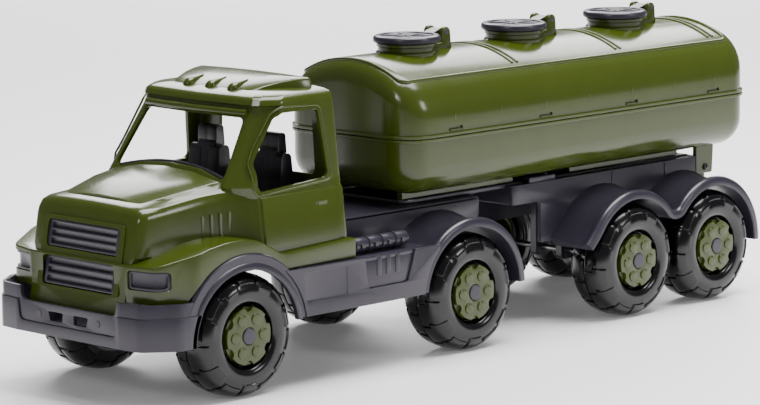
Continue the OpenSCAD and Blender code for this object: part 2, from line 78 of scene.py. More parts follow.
def area_light(name, at, target, size, watts):
    """A soft box that faces its target."""
    data = bpy.data.lights.new(name, "AREA")
    data.shape = "RECTANGLE"
    data.size = size
    data.size_y = size
    data.energy = watts
    light = bpy.data.objects.new(name, data)
    light.location = at
    light.rotation_euler = (Vector(target) - Vector(at)).to_track_quat("-Z", "Y").to_euler()
    bpy.context.scene.collection.objects.link(light)


area_light("overhead_softbox", (0.1, 0.35, 1.7), (0, 0, 0.1), 1.3, 75)
area_light("left_softbox", (2.1, 0.9, 1.1), (0, 0.05, 0.1), 0.5, 10)
area_light("front_softbox", (0.9, -2.4, 1.5), (0, -0.1, 0.1), 0.5, 12)
area_light("background_softbox", (-2.6, 2.8, 2.2), (-2.4, 2.6, 0), 3.0, 240)
world = bpy.data.worlds.new("studio")
bpy.context.scene.world = world
world.use_nodes = True
world.node_tree.nodes["Background"].inputs["Color"].default_value = srgb("#e9eaf2")
world.node_tree.nodes["Background"].inputs["Strength"].default_value = 0.22


def add_node(tree, kind, settings=None, **links):
    """Adds a shader node, sets its properties and sockets, and links the sockets that are given an output."""
    node = tree.nodes.new(kind)
    for key, value in (settings or {}).items():
        if hasattr(node, key):
            setattr(node, key, value)
        else:
            node.inputs[key].default_value = value
    for key, output in links.items():
        tree.links.new(output, node.inputs[key.replace("_", " ")])
    return node


def new_material(name):
    """An empty material and its tree, with the output and a Principled shader joined up."""
    material = bpy.data.materials.new(name)
    material.use_nodes = True
    return material, material.node_tree, material.node_tree.nodes["Principled BSDF"]


def lit_floor():
    """White acrylic sheet lit from below, as on a product table: matt, even, brighter than paper."""
    material, tree, shader = new_material("lit_acrylic")
    shader.inputs["Base Color"].default_value = srgb("#fbf9fa")
    shader.inputs["Roughness"].default_value = 0.5
    shader.inputs["IOR"].default_value = 1.49
    shader.inputs["Emission Color"].default_value = srgb("#fffdfc")
    shader.inputs["Emission Strength"].default_value = FLOOR_GLOW
    return material


FLOOR_GLOW = 0.1
FLOOR_SIZE, FLOOR_MIDDLE = 26.0, (0, 0, 0)
bpy.ops.object.select_all(action="DESELECT")
bpy.ops.mesh.primitive_plane_add(size=FLOOR_SIZE, location=FLOOR_MIDDLE)
floor = bpy.context.object
floor.name = "studio_floor"
floor.data.materials.append(lit_floor())

# ---------------------------------------------------------------- tyres
# Hollow blow-moulded tyres in hard glossy plastic, snapped over the hubs. Fourteen lugs a side, half a pitch
# apart, run over the shoulders to the middle of the tread.


def put_down():
    """Back to object mode, with nothing selected."""
    if bpy.context.mode != "OBJECT":
        bpy.ops.object.mode_set(mode="OBJECT")
    bpy.ops.object.select_all(action="DESELECT")


def only(piece):
    """Selects one piece and nothing else."""
    put_down()
    piece.select_set(True)
    bpy.context.view_layer.objects.active = piece


def pick(piece, kind, test):
    """Opens the piece in edit mode with only the elements selected that pass the test.
    A test takes a centre, and a face's normal or an edge's direction."""
    only(piece)
    bpy.ops.object.mode_set(mode="EDIT")
    bpy.ops.mesh.select_mode(type=kind)
    bpy.ops.mesh.select_all(action="DESELECT")
    bpy.ops.object.mode_set(mode="OBJECT")
    mesh = piece.data
    if kind == "FACE":
        for face in mesh.polygons:
            face.select = test(face.center, face.normal)
    elif kind == "EDGE":
        for edge in mesh.edges:
            a, b = (mesh.vertices[i].co for i in edge.vertices)
            edge.select = test((a + b) / 2, (b - a).normalized())
    else:
        for vertex in mesh.vertices:
            vertex.select = test(vertex.co)
    bpy.ops.object.mode_set(mode="EDIT")


def modify(piece, kind, **settings):
    """Adds a modifier and applies it."""
    only(piece)
    modifier = piece.modifiers.new(kind.lower(), kind)
    for key, value in settings.items():
        setattr(modifier, key, value)
    bpy.ops.object.modifier_apply(modifier=modifier.name)
    return piece


def soften(piece, width, segments=2, angle=35):
    """Rounds the moulded edges."""
    return modify(piece, "BEVEL", width=width * MM, segments=segments, limit_method="ANGLE",
                  angle_limit=math.radians(angle), use_clamp_overlap=True)


def draw(name, points):
    """A closed outline drawn vertex by vertex, in millimetres, left selected in edit mode as edges."""
    put_down()
    bpy.ops.mesh.primitive_plane_add(size=MM, location=(0, 0, 0))
    piece = bpy.context.object
    piece.name = piece.data.name = name
    bpy.ops.object.mode_set(mode="EDIT")
    bpy.ops.mesh.select_mode(type="VERT")
    bpy.ops.mesh.merge(type="CENTER")
    corners = [Vector(p) * MM for p in points]
    bpy.ops.transform.translate(value=corners[0])
    for start, end in zip(corners, corners[1:] + corners[:1]):
        bpy.ops.mesh.extrude_vertices_move(TRANSFORM_OT_translate={"value": end - start})
    bpy.ops.mesh.select_all(action="SELECT")
    bpy.ops.mesh.remove_doubles(threshold=0.01 * MM)
    return piece


def face_out():
    """Turns every face of the open piece outwards."""
    bpy.ops.mesh.select_all(action="SELECT")
    bpy.ops.mesh.normals_make_consistent(inside=False)
    bpy.ops.object.mode_set(mode="OBJECT")


def smooth(piece, angle=32):
    """Smooth shading, with sharp edges past the angle."""
    only(piece)
    bpy.ops.object.shade_smooth_by_angle(angle=math.radians(angle))


def moulded_plastic(name, colour, roughness, coat, orange_peel=0.012, swirl=0.03):
    """Injection-moulded polypropylene: a glossy skin, a faint flow pattern in the colour, and the very slight
    waviness of a thick wall that has sunk as it cooled."""
    material, tree, shader = new_material(name)
    coords = add_node(tree, "ShaderNodeTexCoord")
    flow = add_node(tree, "ShaderNodeTexNoise", {"Scale": 28.0, "Detail": 3.0, "Distortion": 0.6},
                    Vector=coords.outputs["Object"])
    dark = tuple(c * (1 - swirl) for c in srgb(colour)[:3]) + (1.0,)
    light = tuple(c * (1 + swirl) for c in srgb(colour)[:3]) + (1.0,)
    ramp = add_node(tree, "ShaderNodeValToRGB", Fac=flow.outputs["Fac"])
    ramp.color_ramp.elements[0].position = 0.35
    ramp.color_ramp.elements[0].color = dark
    ramp.color_ramp.elements[1].position = 0.65
    ramp.color_ramp.elements[1].color = light
    tree.links.new(ramp.outputs["Color"], shader.inputs["Base Color"])
    # handling varies the gloss a little; a patch is about 20 mm across
    scuff = add_node(tree, "ShaderNodeTexNoise", {"Scale": 50.0, "Detail": 2.0, "Roughness": 0.5},
                     Vector=coords.outputs["Object"])
    gloss = add_node(tree, "ShaderNodeMapRange", {"From Min": 0.35, "From Max": 0.75,
                     "To Min": roughness * 0.92, "To Max": roughness * 1.12}, Value=scuff.outputs["Fac"])
    tree.links.new(gloss.outputs["Result"], shader.inputs["Roughness"])
    # sink marks some 12 mm apart, a few hundredths of a millimetre deep
    sink = add_node(tree, "ShaderNodeTexNoise", {"Scale": 85.0, "Detail": 1.0},
                    Vector=coords.outputs["Object"])
    bump = add_node(tree, "ShaderNodeBump", {"Strength": 0.35, "Distance": orange_peel * MM * 10},
                    Height=sink.outputs["Fac"])
    tree.links.new(bump.outputs["Normal"], shader.inputs["Normal"])
    shader.inputs["IOR"].default_value = 1.49
    shader.inputs["Coat Weight"].default_value = coat
    shader.inputs["Coat Roughness"].default_value = 0.06
    return material


GREEN = moulded_plastic("olive_green_polypropylene", "#38430b", 0.2, 0.04)
GREY = moulded_plastic("warm_grey_polypropylene", "#2b2732", 0.3, 0.04)
BLACK = moulded_plastic("black_polyethylene", "#060607", 0.2, 0.04)

AXLES = ("front", "drive", "bogie", "rear")
SIDES = ("left", "right")
tyre_low, tyre_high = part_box("front_left_tyre")
TYRE_R = (tyre_high.z - tyre_low.z) / 2 / MM
TYRE_W = (tyre_high.x - tyre_low.x) / MM
hub_low, hub_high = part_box("front_left_hub")
HUB_R = (hub_high.z - hub_low.z) / 2 / MM
LUGS = 14
STEPS_A_LUG = 8
LUG_H = 1.1


def tyre_section():
    """Half of the section from the rim over the sidewall to the middle of the tread, then mirrored."""
    half = [(6.8, HUB_R + 0.4), (6.5, 20.0), (2.6, 20.6), (1.0, 21.8), (0.2, 24.0), (0, 27.0), (0.5, 30.2),
            (1.7, 32.8), (3.6, 35.2), (6.2, 36.9), (9.5, TYRE_R - LUG_H - 0.35), (13, TYRE_R - LUG_H - 0.1),
            (TYRE_W / 2 - 0.5, TYRE_R - LUG_H), (TYRE_W / 2, TYRE_R - LUG_H + 0.35)]
    other = [(TYRE_W - a, r) for a, r in reversed(half[:-1])]
    return [(-a, 0, r) for a, r in half + other]


def turn_round(steps, centre, axis, weld):
    """Spins the drawn section right round an axis, as on a lathe, and welds where it meets itself."""
    bpy.ops.mesh.spin(steps=steps, angle=2 * math.pi, center=[c * MM for c in centre], axis=axis)
    bpy.ops.mesh.select_all(action="SELECT")
    bpy.ops.mesh.remove_doubles(threshold=weld * MM)
    face_out()


tyre = draw("tyre", tyre_section())
turn_round(LUGS * STEPS_A_LUG, (0, 0, 0), (1, 0, 0), 0.02)


def is_lug(centre, normal):
    radius = math.hypot(centre.y, centre.z) / MM
    depth = -centre.x / MM
    outer = depth < TYRE_W / 2
    near = min(depth, TYRE_W - depth)
    if radius < 31 or near > TYRE_W / 2 - 1.2:
        return False
    turn = math.degrees(math.atan2(centre.z, centre.y)) % 360
    step = int(turn / 360 * LUGS * STEPS_A_LUG + 1e-6)
    step = (step + (0 if outer else STEPS_A_LUG // 2)) % (LUGS * STEPS_A_LUG)
    in_lug = step % STEPS_A_LUG
    if radius < 33.5:
        return (step // STEPS_A_LUG) % 2 == 0 and in_lug not in (0, STEPS_A_LUG - 1)
    # the groove runs aslant: it moves one step on between shoulder and middle
    groove = 0 if near < 9.5 else 1
    return in_lug != groove


pick(tyre, "FACE", is_lug)
bpy.ops.mesh.extrude_region_shrink_fatten(TRANSFORM_OT_shrink_fatten={"value": LUG_H * MM})
bpy.ops.object.mode_set(mode="OBJECT")
soften(tyre, 0.3, 2, 40)
smooth(tyre, 40)


def place_wheel_piece(pattern, node, body, material):
    """Copies a pattern that was drawn round the x axis with its outer face at x = 0 to a wheel."""
    piece = pattern.copy()
    piece.data = pattern.data.copy()
    piece.name = piece.data.name = node + "_moulding"
    bpy.context.scene.collection.objects.link(piece)
    low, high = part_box(node.rsplit("_", 1)[0] + "_tyre")
    middle = (low + high) / 2
    left = middle.x > 0
    only(piece)
    piece.location = (high.x if left else low.x, middle.y, middle.z)
    piece.rotation_euler = (0, 0, 0 if left else math.pi)
    bpy.ops.object.transform_apply(location=True, rotation=True, scale=True)
    piece.data.materials.clear()
    piece.data.materials.append(material)
    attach(piece, body)
    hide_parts(node)


for axle in AXLES:
    for side in SIDES:
        wheel = f"{axle}_{side}"
        place_wheel_piece(tyre, wheel + "_tyre", wheel + "_wheel", BLACK)
bpy.data.objects.remove(tyre)

# ---------------------------------------------------------------- hubs and caps
# Green injection-moulded hubs with six notches in the rim and six round nubs, pushed into the tyres. Grey
# caps are pressed over the axle ends.


def cylinder(name, radius, x0, x1, sides=64, y=0, z=0):
    """A cylinder along x, in millimetres."""
    put_down()
    bpy.ops.mesh.primitive_cylinder_add(vertices=sides, radius=radius * MM, depth=abs(x1 - x0) * MM,
                                        location=((x0 + x1) / 2 * MM, y * MM, z * MM),
                                        rotation=(0, math.pi / 2, 0))
    bpy.ops.object.transform_apply(location=True, rotation=True, scale=True)
    piece = bpy.context.object
    piece.name = piece.data.name = name
    return piece


def join(pieces, name):
    """Joins pieces into the first one."""
    only(pieces[0])
    for piece in pieces:
        piece.select_set(True)
    if len(pieces) > 1:
        bpy.ops.object.join()
    pieces[0].name = pieces[0].data.name = name
    return pieces[0]


def carve(piece, tools, operation="DIFFERENCE"):
    """Cuts the tools out of the piece, or keeps what they share, and removes the tools."""
    for tool in tools:
        modify(piece, "BOOLEAN", operation=operation, object=tool, solver="EXACT")
        bpy.data.objects.remove(tool)
    return piece


HUB_SET, HUB_FACE, HUB_BACK, AXLE_WAY_R = 0.7, 5.5, 26, 2.06
hub = cylinder("hub", HUB_R, -HUB_SET, -HUB_SET - HUB_FACE, 96)
carve(hub, [cylinder("notch", 3.4, 1, -3.3, 32, z=(HUB_R + 0.6) * math.cos(a), y=(HUB_R + 0.6) * math.sin(a))
            for a in (math.radians(60 * k) for k in range(6))])
carve(hub, [cylinder("cap_seat", 5.5, 1, -HUB_SET - 3.2, 48)])
soften(hub, 0.7, 3, 50)
barrel = cylinder("barrel", HUB_R, -HUB_FACE - 0.4, -HUB_BACK, 96)
carve(barrel, [cylinder("hollow", HUB_R - 2, -HUB_FACE - 2, -HUB_BACK - 1, 96)])
sleeve = cylinder("sleeve", 4.6, -HUB_FACE, -HUB_BACK, 32)
carve(sleeve, [cylinder("axle_way", AXLE_WAY_R, 1, -HUB_BACK - 1, 32)])
carve(hub, [cylinder("axle_way", AXLE_WAY_R, 1, -HUB_BACK - 1, 32)])
nubs = []
for k in range(6):
    a = math.radians(60 * k + 30)
    nub = cylinder("nub", 3.6, -HUB_SET - 1, 0.2, 32, z=HUB_R * 0.64 * math.cos(a),
                   y=HUB_R * 0.64 * math.sin(a))
    nubs.append(soften(nub, 0.55, 3, 50))
hub = join([hub, barrel, sleeve] + nubs, "hub")
smooth(hub, 40)
cap = cylinder("cap", 5.2, 0, -3.4, 48)
pick(cap, "FACE", lambda c, n: n.x > 0.9)
bpy.ops.mesh.inset(thickness=2.6 * MM, depth=0.25 * MM)
bpy.ops.object.mode_set(mode="OBJECT")
soften(cap, 0.5, 3, 50)
pick(cap, "VERT", lambda c: c.x > 0)
bpy.ops.transform.resize(value=(0, 1, 1), center_override=(0, 0, 0))
bpy.ops.object.mode_set(mode="OBJECT")
smooth(cap, 50)
for axle in AXLES:
    for side in SIDES:
        wheel = f"{axle}_{side}"
        place_wheel_piece(hub, wheel + "_hub", wheel + "_wheel", GREEN)
        place_wheel_piece(cap, wheel + "_cap", wheel + "_wheel", GREY)
bpy.data.objects.remove(hub)
bpy.data.objects.remove(cap)

# ---------------------------------------------------------------- tank, upper half
# The roof half of the tank: an injection-moulded green shell with an arched roof, a bead round the walkway,
# three filler necks and their hinge ears. It clips to the lower half along the flange.

shell_low, shell_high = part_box("tank_upper")
FLANGE = 1.6
TANK_X = shell_high.x / MM - FLANGE
FRONT = shell_low.y / MM + FLANGE
BACK = shell_high.y / MM - FLANGE
SEAM = shell_low.z / MM
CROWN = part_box("lid_1")[0].z / MM - 4
CROWN_R = 92
PLAN_R = 22
SHELL_T = 2.2
LID_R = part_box("lid_1")[1].x / MM
NECKS = [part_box(f"lid_{k}")[0].y / MM + LID_R for k in (1, 2, 3)]
NECK_R, NECK_BORE = 19.5, 17.0
LID_RISE, PIN_BACK, PIN_RISE, EAR_X = 6, 29, 10.2, 5.2


def rounded_plan(half_x, front, back, radius, z, steps=8):
    """A rounded rectangle seen from above, as outline points in millimetres."""
    points = []
    corners = ((half_x - radius, front + radius, -90), (half_x - radius, back - radius, 0),
               (-half_x + radius, back - radius, 90), (-half_x + radius, front + radius, 180))
    for x, y, start in corners:
        for k in range(steps + 1):
            a = math.radians(start + 90 * k / steps)
            points.append((x + radius * math.cos(a), y + radius * math.sin(a), z))
    return points


def fill():
    """Fills the open outline with one face."""
    bpy.ops.mesh.edge_face_add()


def pull(x=0, y=0, z=0):
    """Extrudes what is selected, in millimetres."""
    bpy.ops.mesh.extrude_region_move(TRANSFORM_OT_translate={"value": (x * MM, y * MM, z * MM)})


def crown_rise(x):
    """How far the arched roof stands above its own edge."""
    arch = math.sqrt(CROWN_R ** 2 - min(abs(x), TANK_X) ** 2)
    return arch - math.sqrt(CROWN_R ** 2 - TANK_X ** 2)


def slice_across(piece, places, normal):
    """Cuts new edge loops square to an axis."""
    only(piece)
    bpy.ops.object.mode_set(mode="EDIT")
    for place in places:
        bpy.ops.mesh.select_all(action="SELECT")
        bpy.ops.mesh.bisect(plane_co=Vector(normal) * place * MM, plane_no=normal)
    bpy.ops.object.mode_set(mode="OBJECT")


def round_over(width, height, steps):
    """Insets the selected face again and again, moving it up or down along a quarter ellipse."""
    for k in range(steps):
        a, b = (math.radians(90 * n / steps) for n in (k, k + 1))
        bpy.ops.mesh.inset(thickness=width * (math.cos(a) - math.cos(b)) * MM)
        bpy.ops.transform.translate(value=(0, 0, height * (math.sin(b) - math.sin(a)) * MM))


EDGE_W, EDGE_H = 12.5, 16
roof_edge = CROWN - crown_rise(0)
roof = draw("tank_roof", rounded_plan(TANK_X, FRONT, BACK, PLAN_R, SEAM + 2.2))
fill()
pull(z=roof_edge - EDGE_H - SEAM - 2.2)
round_over(EDGE_W, EDGE_H, 7)
face_out()
slice_across(roof, [x * 3.5 for x in range(-16, 17)], (1, 0, 0))
for x in sorted({round(v.co.x / MM, 3) for v in roof.data.vertices}):
    pick(roof, "VERT", lambda c: abs(c.x / MM - x) < 0.002 and c.z / MM > roof_edge - EDGE_H - 0.01)
    bpy.ops.transform.translate(value=(0, 0, crown_rise(x) * MM))
pick(roof, "FACE", lambda c, n: n.z < -0.9)
bpy.ops.mesh.delete(type="FACE")
bpy.ops.object.mode_set(mode="OBJECT")
modify(roof, "SOLIDIFY", thickness=SHELL_T * MM, offset=-1)


def disc(name, radius, z0, z1, x=0, y=0, sides=64):
    """An upright cylinder, in millimetres."""
    piece = cylinder(name, radius, z0, z1, sides)
    piece.rotation_euler = (0, -math.pi / 2, 0)
    bpy.ops.object.transform_apply(location=False, rotation=True, scale=False)
    piece.location = (x * MM, y * MM, 0)
    bpy.ops.object.transform_apply(location=True, rotation=False, scale=False)
    return piece


carve(roof, [disc("neck_way", NECK_BORE, CROWN - 20, CROWN + 20, y=y) for y in NECKS])


def block(name, low, high):
    """A box between two corners, in millimetres."""
    put_down()
    low, high = Vector(low) * MM, Vector(high) * MM
    bpy.ops.mesh.primitive_cube_add(size=1, location=(low + high) / 2)
    piece = bpy.context.object
    piece.scale = high - low
    bpy.ops.object.transform_apply(location=True, rotation=True, scale=True)
    piece.name = piece.data.name = name
    return piece


CLIP_L = 13
clips = [FRONT + 38 + CLIP_L / 2 + k * (BACK - FRONT - 76 - CLIP_L) / 3 for k in range(4)]
for s in (-1, 1):
    carve(roof, [block("clip_slot", (s * TANK_X - 1.3, y - CLIP_L / 2, SEAM + 3.4),
                       (s * TANK_X + 1.3, y + CLIP_L / 2, SEAM + 6)) for y in clips])
smooth(roof, 40)


def band(name, low, high):
    """Half of the flange: a flat rim all round the tank with a rounded edge."""
    rim = draw(name, rounded_plan(TANK_X + FLANGE, FRONT - FLANGE, BACK + FLANGE, PLAN_R + FLANGE, low))
    fill()
    pull(z=high - low)
    face_out()
    hole = draw("hole", rounded_plan(TANK_X - 1, FRONT + 1, BACK - 1, PLAN_R - 1, low - 5))
    fill()
    pull(z=high - low + 10)
    face_out()
    carve(rim, [hole])
    return soften(rim, 0.6, 2)


def roof_z(x, y):
    """Height of the roof skin, with the rounded ends."""
    inset = min(y - FRONT, BACK - y, EDGE_W)
    drop = EDGE_H * (1 - math.sqrt(max(0, 1 - (1 - inset / EDGE_W) ** 2)))
    return roof_edge + crown_rise(x) - drop


def bead(name, points, radius, closed=False):
    """A half-round bead laid along points on a surface."""
    curve = bpy.data.curves.new(name, "CURVE")
    curve.dimensions = "3D"
    curve.bevel_depth = radius * MM
    curve.bevel_resolution = 3
    curve.use_fill_caps = not closed
    spline = curve.splines.new("POLY")
    spline.points.add(len(points) - 1)
    for point, at in zip(spline.points, points):
        point.co = (*(Vector(at) * MM), 1)
    spline.use_cyclic_u = closed
    path = bpy.data.objects.new(name, curve)
    bpy.context.scene.collection.objects.link(path)
    only(path)
    bpy.ops.object.convert(target="MESH")
    path = bpy.context.object
    smooth(path, 60)
    return path


WALK_X, WALK_FRONT, WALK_BACK, BEAD_R = 47, FRONT + 8, BACK - 14, 1.5
walk = rounded_plan(WALK_X, WALK_FRONT, WALK_BACK, 6, 0, 4)
long_walk = []
for (x0, y0, _), (x1, y1, _) in zip(walk, walk[1:] + walk[:1]):
    steps = max(1, int(abs(x1 - x0) // 5))
    for k in range(steps):
        long_walk.append((x0 + (x1 - x0) * k / steps, y0 + (y1 - y0) * k / steps))
beads = [bead("walkway_bead", [(x, y, roof_z(x, y) - 0.3) for x, y in long_walk], BEAD_R, True)]
pitch = NECKS[1] - NECKS[0]
ARC_X = 42
for y in (NECKS[0] + pitch / 2 + 8, NECKS[1] + pitch / 2 + 8, NECKS[2] + pitch / 2 + 2):
    for shift in (-2.4, 2.4):
        arc = [(x, y + shift, roof_z(x, y) - 0.3) for x in [ARC_X * k / 12 for k in range(-12, 13)]]
        beads.append(bead("roof_bead", arc, 1.3))
roof_parts = [roof, band("flange_upper", SEAM + 0.15, SEAM + 2.5)] + beads

for y in NECKS:
    lid_under = CROWN + LID_RISE
    neck = draw("neck", [(NECK_BORE, y, CROWN - 9), (NECK_R + 1.4, y, CROWN - 9),
                         (NECK_R + 1.4, y, CROWN - 0.5),
                         (NECK_R, y, CROWN + 0.6), (NECK_R, y, lid_under - 3),
                         (NECK_R + 0.9, y, lid_under - 2.4),
                         (NECK_R + 0.9, y, lid_under - 0.6), (NECK_R + 0.4, y, lid_under - 0.3),
                         (NECK_BORE, y, lid_under - 0.3)])
    turn_round(64, (0, y, 0), (0, 0, 1), 0.02)
    smooth(neck, 35)
    roof_parts.append(neck)
    pin_y, pin_z = y + PIN_BACK, CROWN + PIN_RISE
    for s in (-1, 1):
        ear_points = [(s * EAR_X, pin_y + 4 * math.cos(a), pin_z + 4 * math.sin(a))
                      for a in (math.radians(t) for t in range(0, 181, 20))]
        ear_points += [(s * EAR_X, pin_y - 4.6, CROWN + 4), (s * EAR_X, y + NECK_R - 1.5, CROWN + 3.5),
                       (s * EAR_X, y + NECK_R - 1.5, CROWN - 5), (s * EAR_X, pin_y + 6, CROWN - 5),
                       (s * EAR_X, pin_y + 4.6, CROWN + 3)]
        ear = draw("ear", ear_points)
        fill()
        pull(x=s * 3.6)
        face_out()
        carve(ear, [cylinder("pin_way", 1.6, s * 2, s * 12, 24, y=pin_y, z=pin_z)])
        soften(ear, 0.5, 2, 50)
        smooth(ear, 40)
        roof_parts.append(ear)
# upright mould marks along the sides, between crease and flange
MARKS, MARK_PITCH = 7, 44
for s in (-1, 1):
    for k in range(MARKS):
        y = FRONT + 44 + k * MARK_PITCH
        mark = block("side_mark", (s * TANK_X - 0.6, y - 0.5, SEAM + 9),
                     (s * TANK_X + 0.15, y + 0.5, roof_edge - EDGE_H + 3))
        roof_parts.append(soften(mark, 0.14, 2))
    for y in clips:
        tab = block("clip", (s * TANK_X - 1.2, y - CLIP_L / 2 + 1, SEAM + 3.2),
                    (s * TANK_X + 0.5, y + CLIP_L / 2 - 1, SEAM + 4.3))
        roof_parts.append(soften(tab, 0.25, 2))


def place(pieces, name, nodes, body, slot, material):
    """Joins pieces into one moulding that stands for its CAD nodes and rides with their body."""
    piece = join(pieces, name)
    piece.data.materials.clear()
    piece.data.materials.append(material)
    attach(piece, body)
    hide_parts(*nodes)
    return piece


place(roof_parts, "tank_roof_moulding", ["tank_upper"], "trailer", "green_plastic", GREEN)

# ---------------------------------------------------------------- tank, lower half
# The belly half: an open green tub with rounded lower edges, two pairs of rails that lie on the trailer bed
# and two brackets that are screwed to the back of the frame.

rail_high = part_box("tank_lower")[1]
BELLY = SEAM - 38
BELLY_W, BELLY_H = 20, 20
tub = draw("tank_tub", rounded_plan(TANK_X, FRONT, BACK, PLAN_R, SEAM - 2))
fill()
pull(z=-(SEAM - 2 - BELLY - BELLY_H))
round_over(BELLY_W, -BELLY_H, 8)
face_out()
pick(tub, "FACE", lambda c, n: n.z > 0.9)
bpy.ops.mesh.delete(type="FACE")
bpy.ops.object.mode_set(mode="OBJECT")
modify(tub, "SOLIDIFY", thickness=SHELL_T * MM, offset=-1)
smooth(tub, 40)
tub_parts = [tub, band("flange_lower", SEAM - 2.5, SEAM - 0.15)]
BRACKET_X = 41.6
RAILS = ((FRONT + 18, FRONT + 125), (FRONT + 182, FRONT + 296))
for s in (-1, 1):
    for y0, y1 in RAILS:
        low_x, high_x = sorted((s * 31, s * 36))
        rail = block("rail", (low_x, y0, BELLY - 4.5), (high_x, y1, BELLY + 1))
        tub_parts.append(soften(rail, 0.5, 2))
    frame_back, bracket_back = rail_high.y / MM - 45 + 0.3 - FLANGE, rail_high.y / MM - 25 - FLANGE
    bracket = draw("bracket", [(s * BRACKET_X, frame_back, 84), (s * BRACKET_X, frame_back, BELLY + 10),
                               (s * BRACKET_X, bracket_back, BELLY + 10),
                               (s * BRACKET_X, bracket_back - 2, 84)])
    bpy.ops.mesh.bevel(offset=1.5 * MM, segments=3, affect="VERTICES")
    bpy.ops.mesh.select_all(action="SELECT")
    fill()
    pull(x=s * 3.4)
    face_out()
    tub_parts.append(soften(bracket, 0.5, 2))
place(tub_parts, "tank_tub_moulding", ["tank_lower"], "trailer", "green_plastic", GREEN)

# ---------------------------------------------------------------- filler lids
# Three grey lids with a raised rim and six raised spokes, each hinged on a grey pin between the ears.

SPOKES = 6
for k, y in enumerate(NECKS, 1):
    under = CROWN + LID_RISE
    top = under + 4.6
    lid = draw("lid", [(0.01, y, under - 2), (NECK_BORE - 0.6, y, under - 2), (NECK_BORE - 0.6, y, under),
                       (LID_R - 0.8, y, under), (LID_R, y, under + 0.8), (LID_R, y, top - 1.7),
                       (LID_R - 0.5, y, top - 0.7), (LID_R - 1.7, y, top), (LID_R - 4.4, y, top),
                       (LID_R - 5.2, y, top - 0.8), (0.01, y, top - 0.8)])
    turn_round(72, (0, y, 0), (0, 0, 1), 0.03)
    smooth(lid, 35)
    lid_parts = [lid, soften(disc("boss", 3.2, top - 1.4, top - 0.1, y=y, sides=32), 0.4, 2)]
    for n in range(SPOKES):
        spoke = block("spoke", (3, -1.1, top - 1.4), (LID_R - 4.6, 1.1, top - 0.15))
        soften(spoke, 0.4, 2)
        spoke.rotation_euler = (0, 0, math.radians(60 * n + 30))
        spoke.location = (0, y * MM, 0)
        only(spoke)
        bpy.ops.object.transform_apply(location=True, rotation=True, scale=True)
        lid_parts.append(spoke)
    pin_y, pin_z = y + PIN_BACK, CROWN + PIN_RISE
    tongue = draw("tongue", [(-4.8, y + LID_R - 3, under + 0.3), (-4.8, y + LID_R - 3, top - 0.3),
                             (-4.8, pin_y, pin_z + 3.1), (-4.8, pin_y + 3.1, pin_z),
                             (-4.8, pin_y, pin_z - 3.1)])
    bpy.ops.mesh.bevel(offset=1.2 * MM, segments=3, affect="VERTICES")
    bpy.ops.mesh.select_all(action="SELECT")
    fill()
    pull(x=9.6)
    face_out()
    carve(tongue, [cylinder("pin_way", 1.58, -6, 6, 24, y=pin_y, z=pin_z)])
    lid_parts.append(soften(tongue, 0.4, 2, 50))
    place(lid_parts, f"lid_{k}_moulding", [f"lid_{k}"], f"lid_{k}", "grey_plastic", GREY)

# ---------------------------------------------------------------- tractor chassis
# One large warm grey injection moulding: a bumper in two steps, lips round the front arches, skirts with a
# recessed step plate, mudguards over the drive wheels, a deck and the frame that carries the trailer.

CHASSIS = "tractor_chassis"
chassis_low, chassis_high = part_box(CHASSIS)
BUMPER = chassis_low.y / MM
BODY_X = chassis_high.x / MM
wheel_middle = {axle: sum((c.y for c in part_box(axle + "_left_tyre"))) / 2 / MM - BUMPER for axle in AXLES}
HUB_Z = TYRE_R
ARCH_LEAD = 1.5
FRONT_ARCH = (wheel_middle["front"] - ARCH_LEAD, HUB_Z - ARCH_LEAD)
ARCH_R = 43
MUD_R = 43.5
SKIRT_TOP, SKIRT_BOTTOM = 75.6, 44.6


def rounded(points, radius, steps=4):
    """A flat outline with its corners rounded, by one radius or by one for each corner."""
    radii = radius if isinstance(radius, (list, tuple)) else [radius] * len(points)
    outline = []
    for k, (corner, r) in enumerate(zip(points, radii)):
        here, back, ahead = (Vector(p) for p in (corner, points[k - 1], points[(k + 1) % len(points)]))
        to_back, to_ahead = back - here, ahead - here
        if r == 0:
            outline.append(tuple(here))
            continue
        half = to_back.angle(to_ahead) / 2
        reach = min(r / math.tan(half), to_back.length * 0.48, to_ahead.length * 0.48)
        start, end = here + to_back.normalized() * reach, here + to_ahead.normalized() * reach
        for n in range(steps + 1):
            t = n / steps
            outline.append(tuple(start * (1 - t) ** 2 + here * 2 * t * (1 - t) + end * t ** 2))
    return outline


def plate(name, view, points, low, high, edge=0, segments=2):
    """A flat moulding drawn in side view (back, height), front view (x, height) or plan (x, back) and given
    its thickness from low to high across that view. Distances back are measured from the bumper."""
    places = {"side": lambda a, b: (low, BUMPER + a, b), "front": lambda a, b: (a, BUMPER + low, b),
              "plan": lambda a, b: (a, BUMPER + b, low)}[view]
    piece = draw(name, [places(a, b) for a, b in points])
    fill()
    pull(**{{"side": "x", "front": "y", "plan": "z"}[view]: high - low})
    face_out()
    return soften(piece, edge, segments) if edge else piece


def wheel_cut(middle, radius):
    """The round opening over a wheel, right across the body."""
    return cylinder("arch", radius, -BODY_X - 5, BODY_X + 5, 128, y=BUMPER + middle[0], z=middle[1])


def ring_way(name, section, middle, start, turn, steps):
    """A section of (x, radius) points swept round a wheel: start and turn in degrees, from straight back over
    the top towards the front. The far end stays selected, in edit mode."""
    a = math.radians(start)
    y, z = BUMPER + middle[0], middle[1]
    piece = draw(name, [(x, y + r * math.cos(a), z + r * math.sin(a)) for x, r in section])
    fill()
    sweep_on(middle, turn, steps)
    return piece


def sweep_on(middle, turn, steps):
    """Sweeps what is selected further round a middle; the tool counts turns the other way."""
    centre = (0, (BUMPER + middle[0]) * MM, middle[1] * MM)
    bpy.ops.mesh.spin(steps=steps, angle=-math.radians(turn), center=centre, axis=(1, 0, 0))


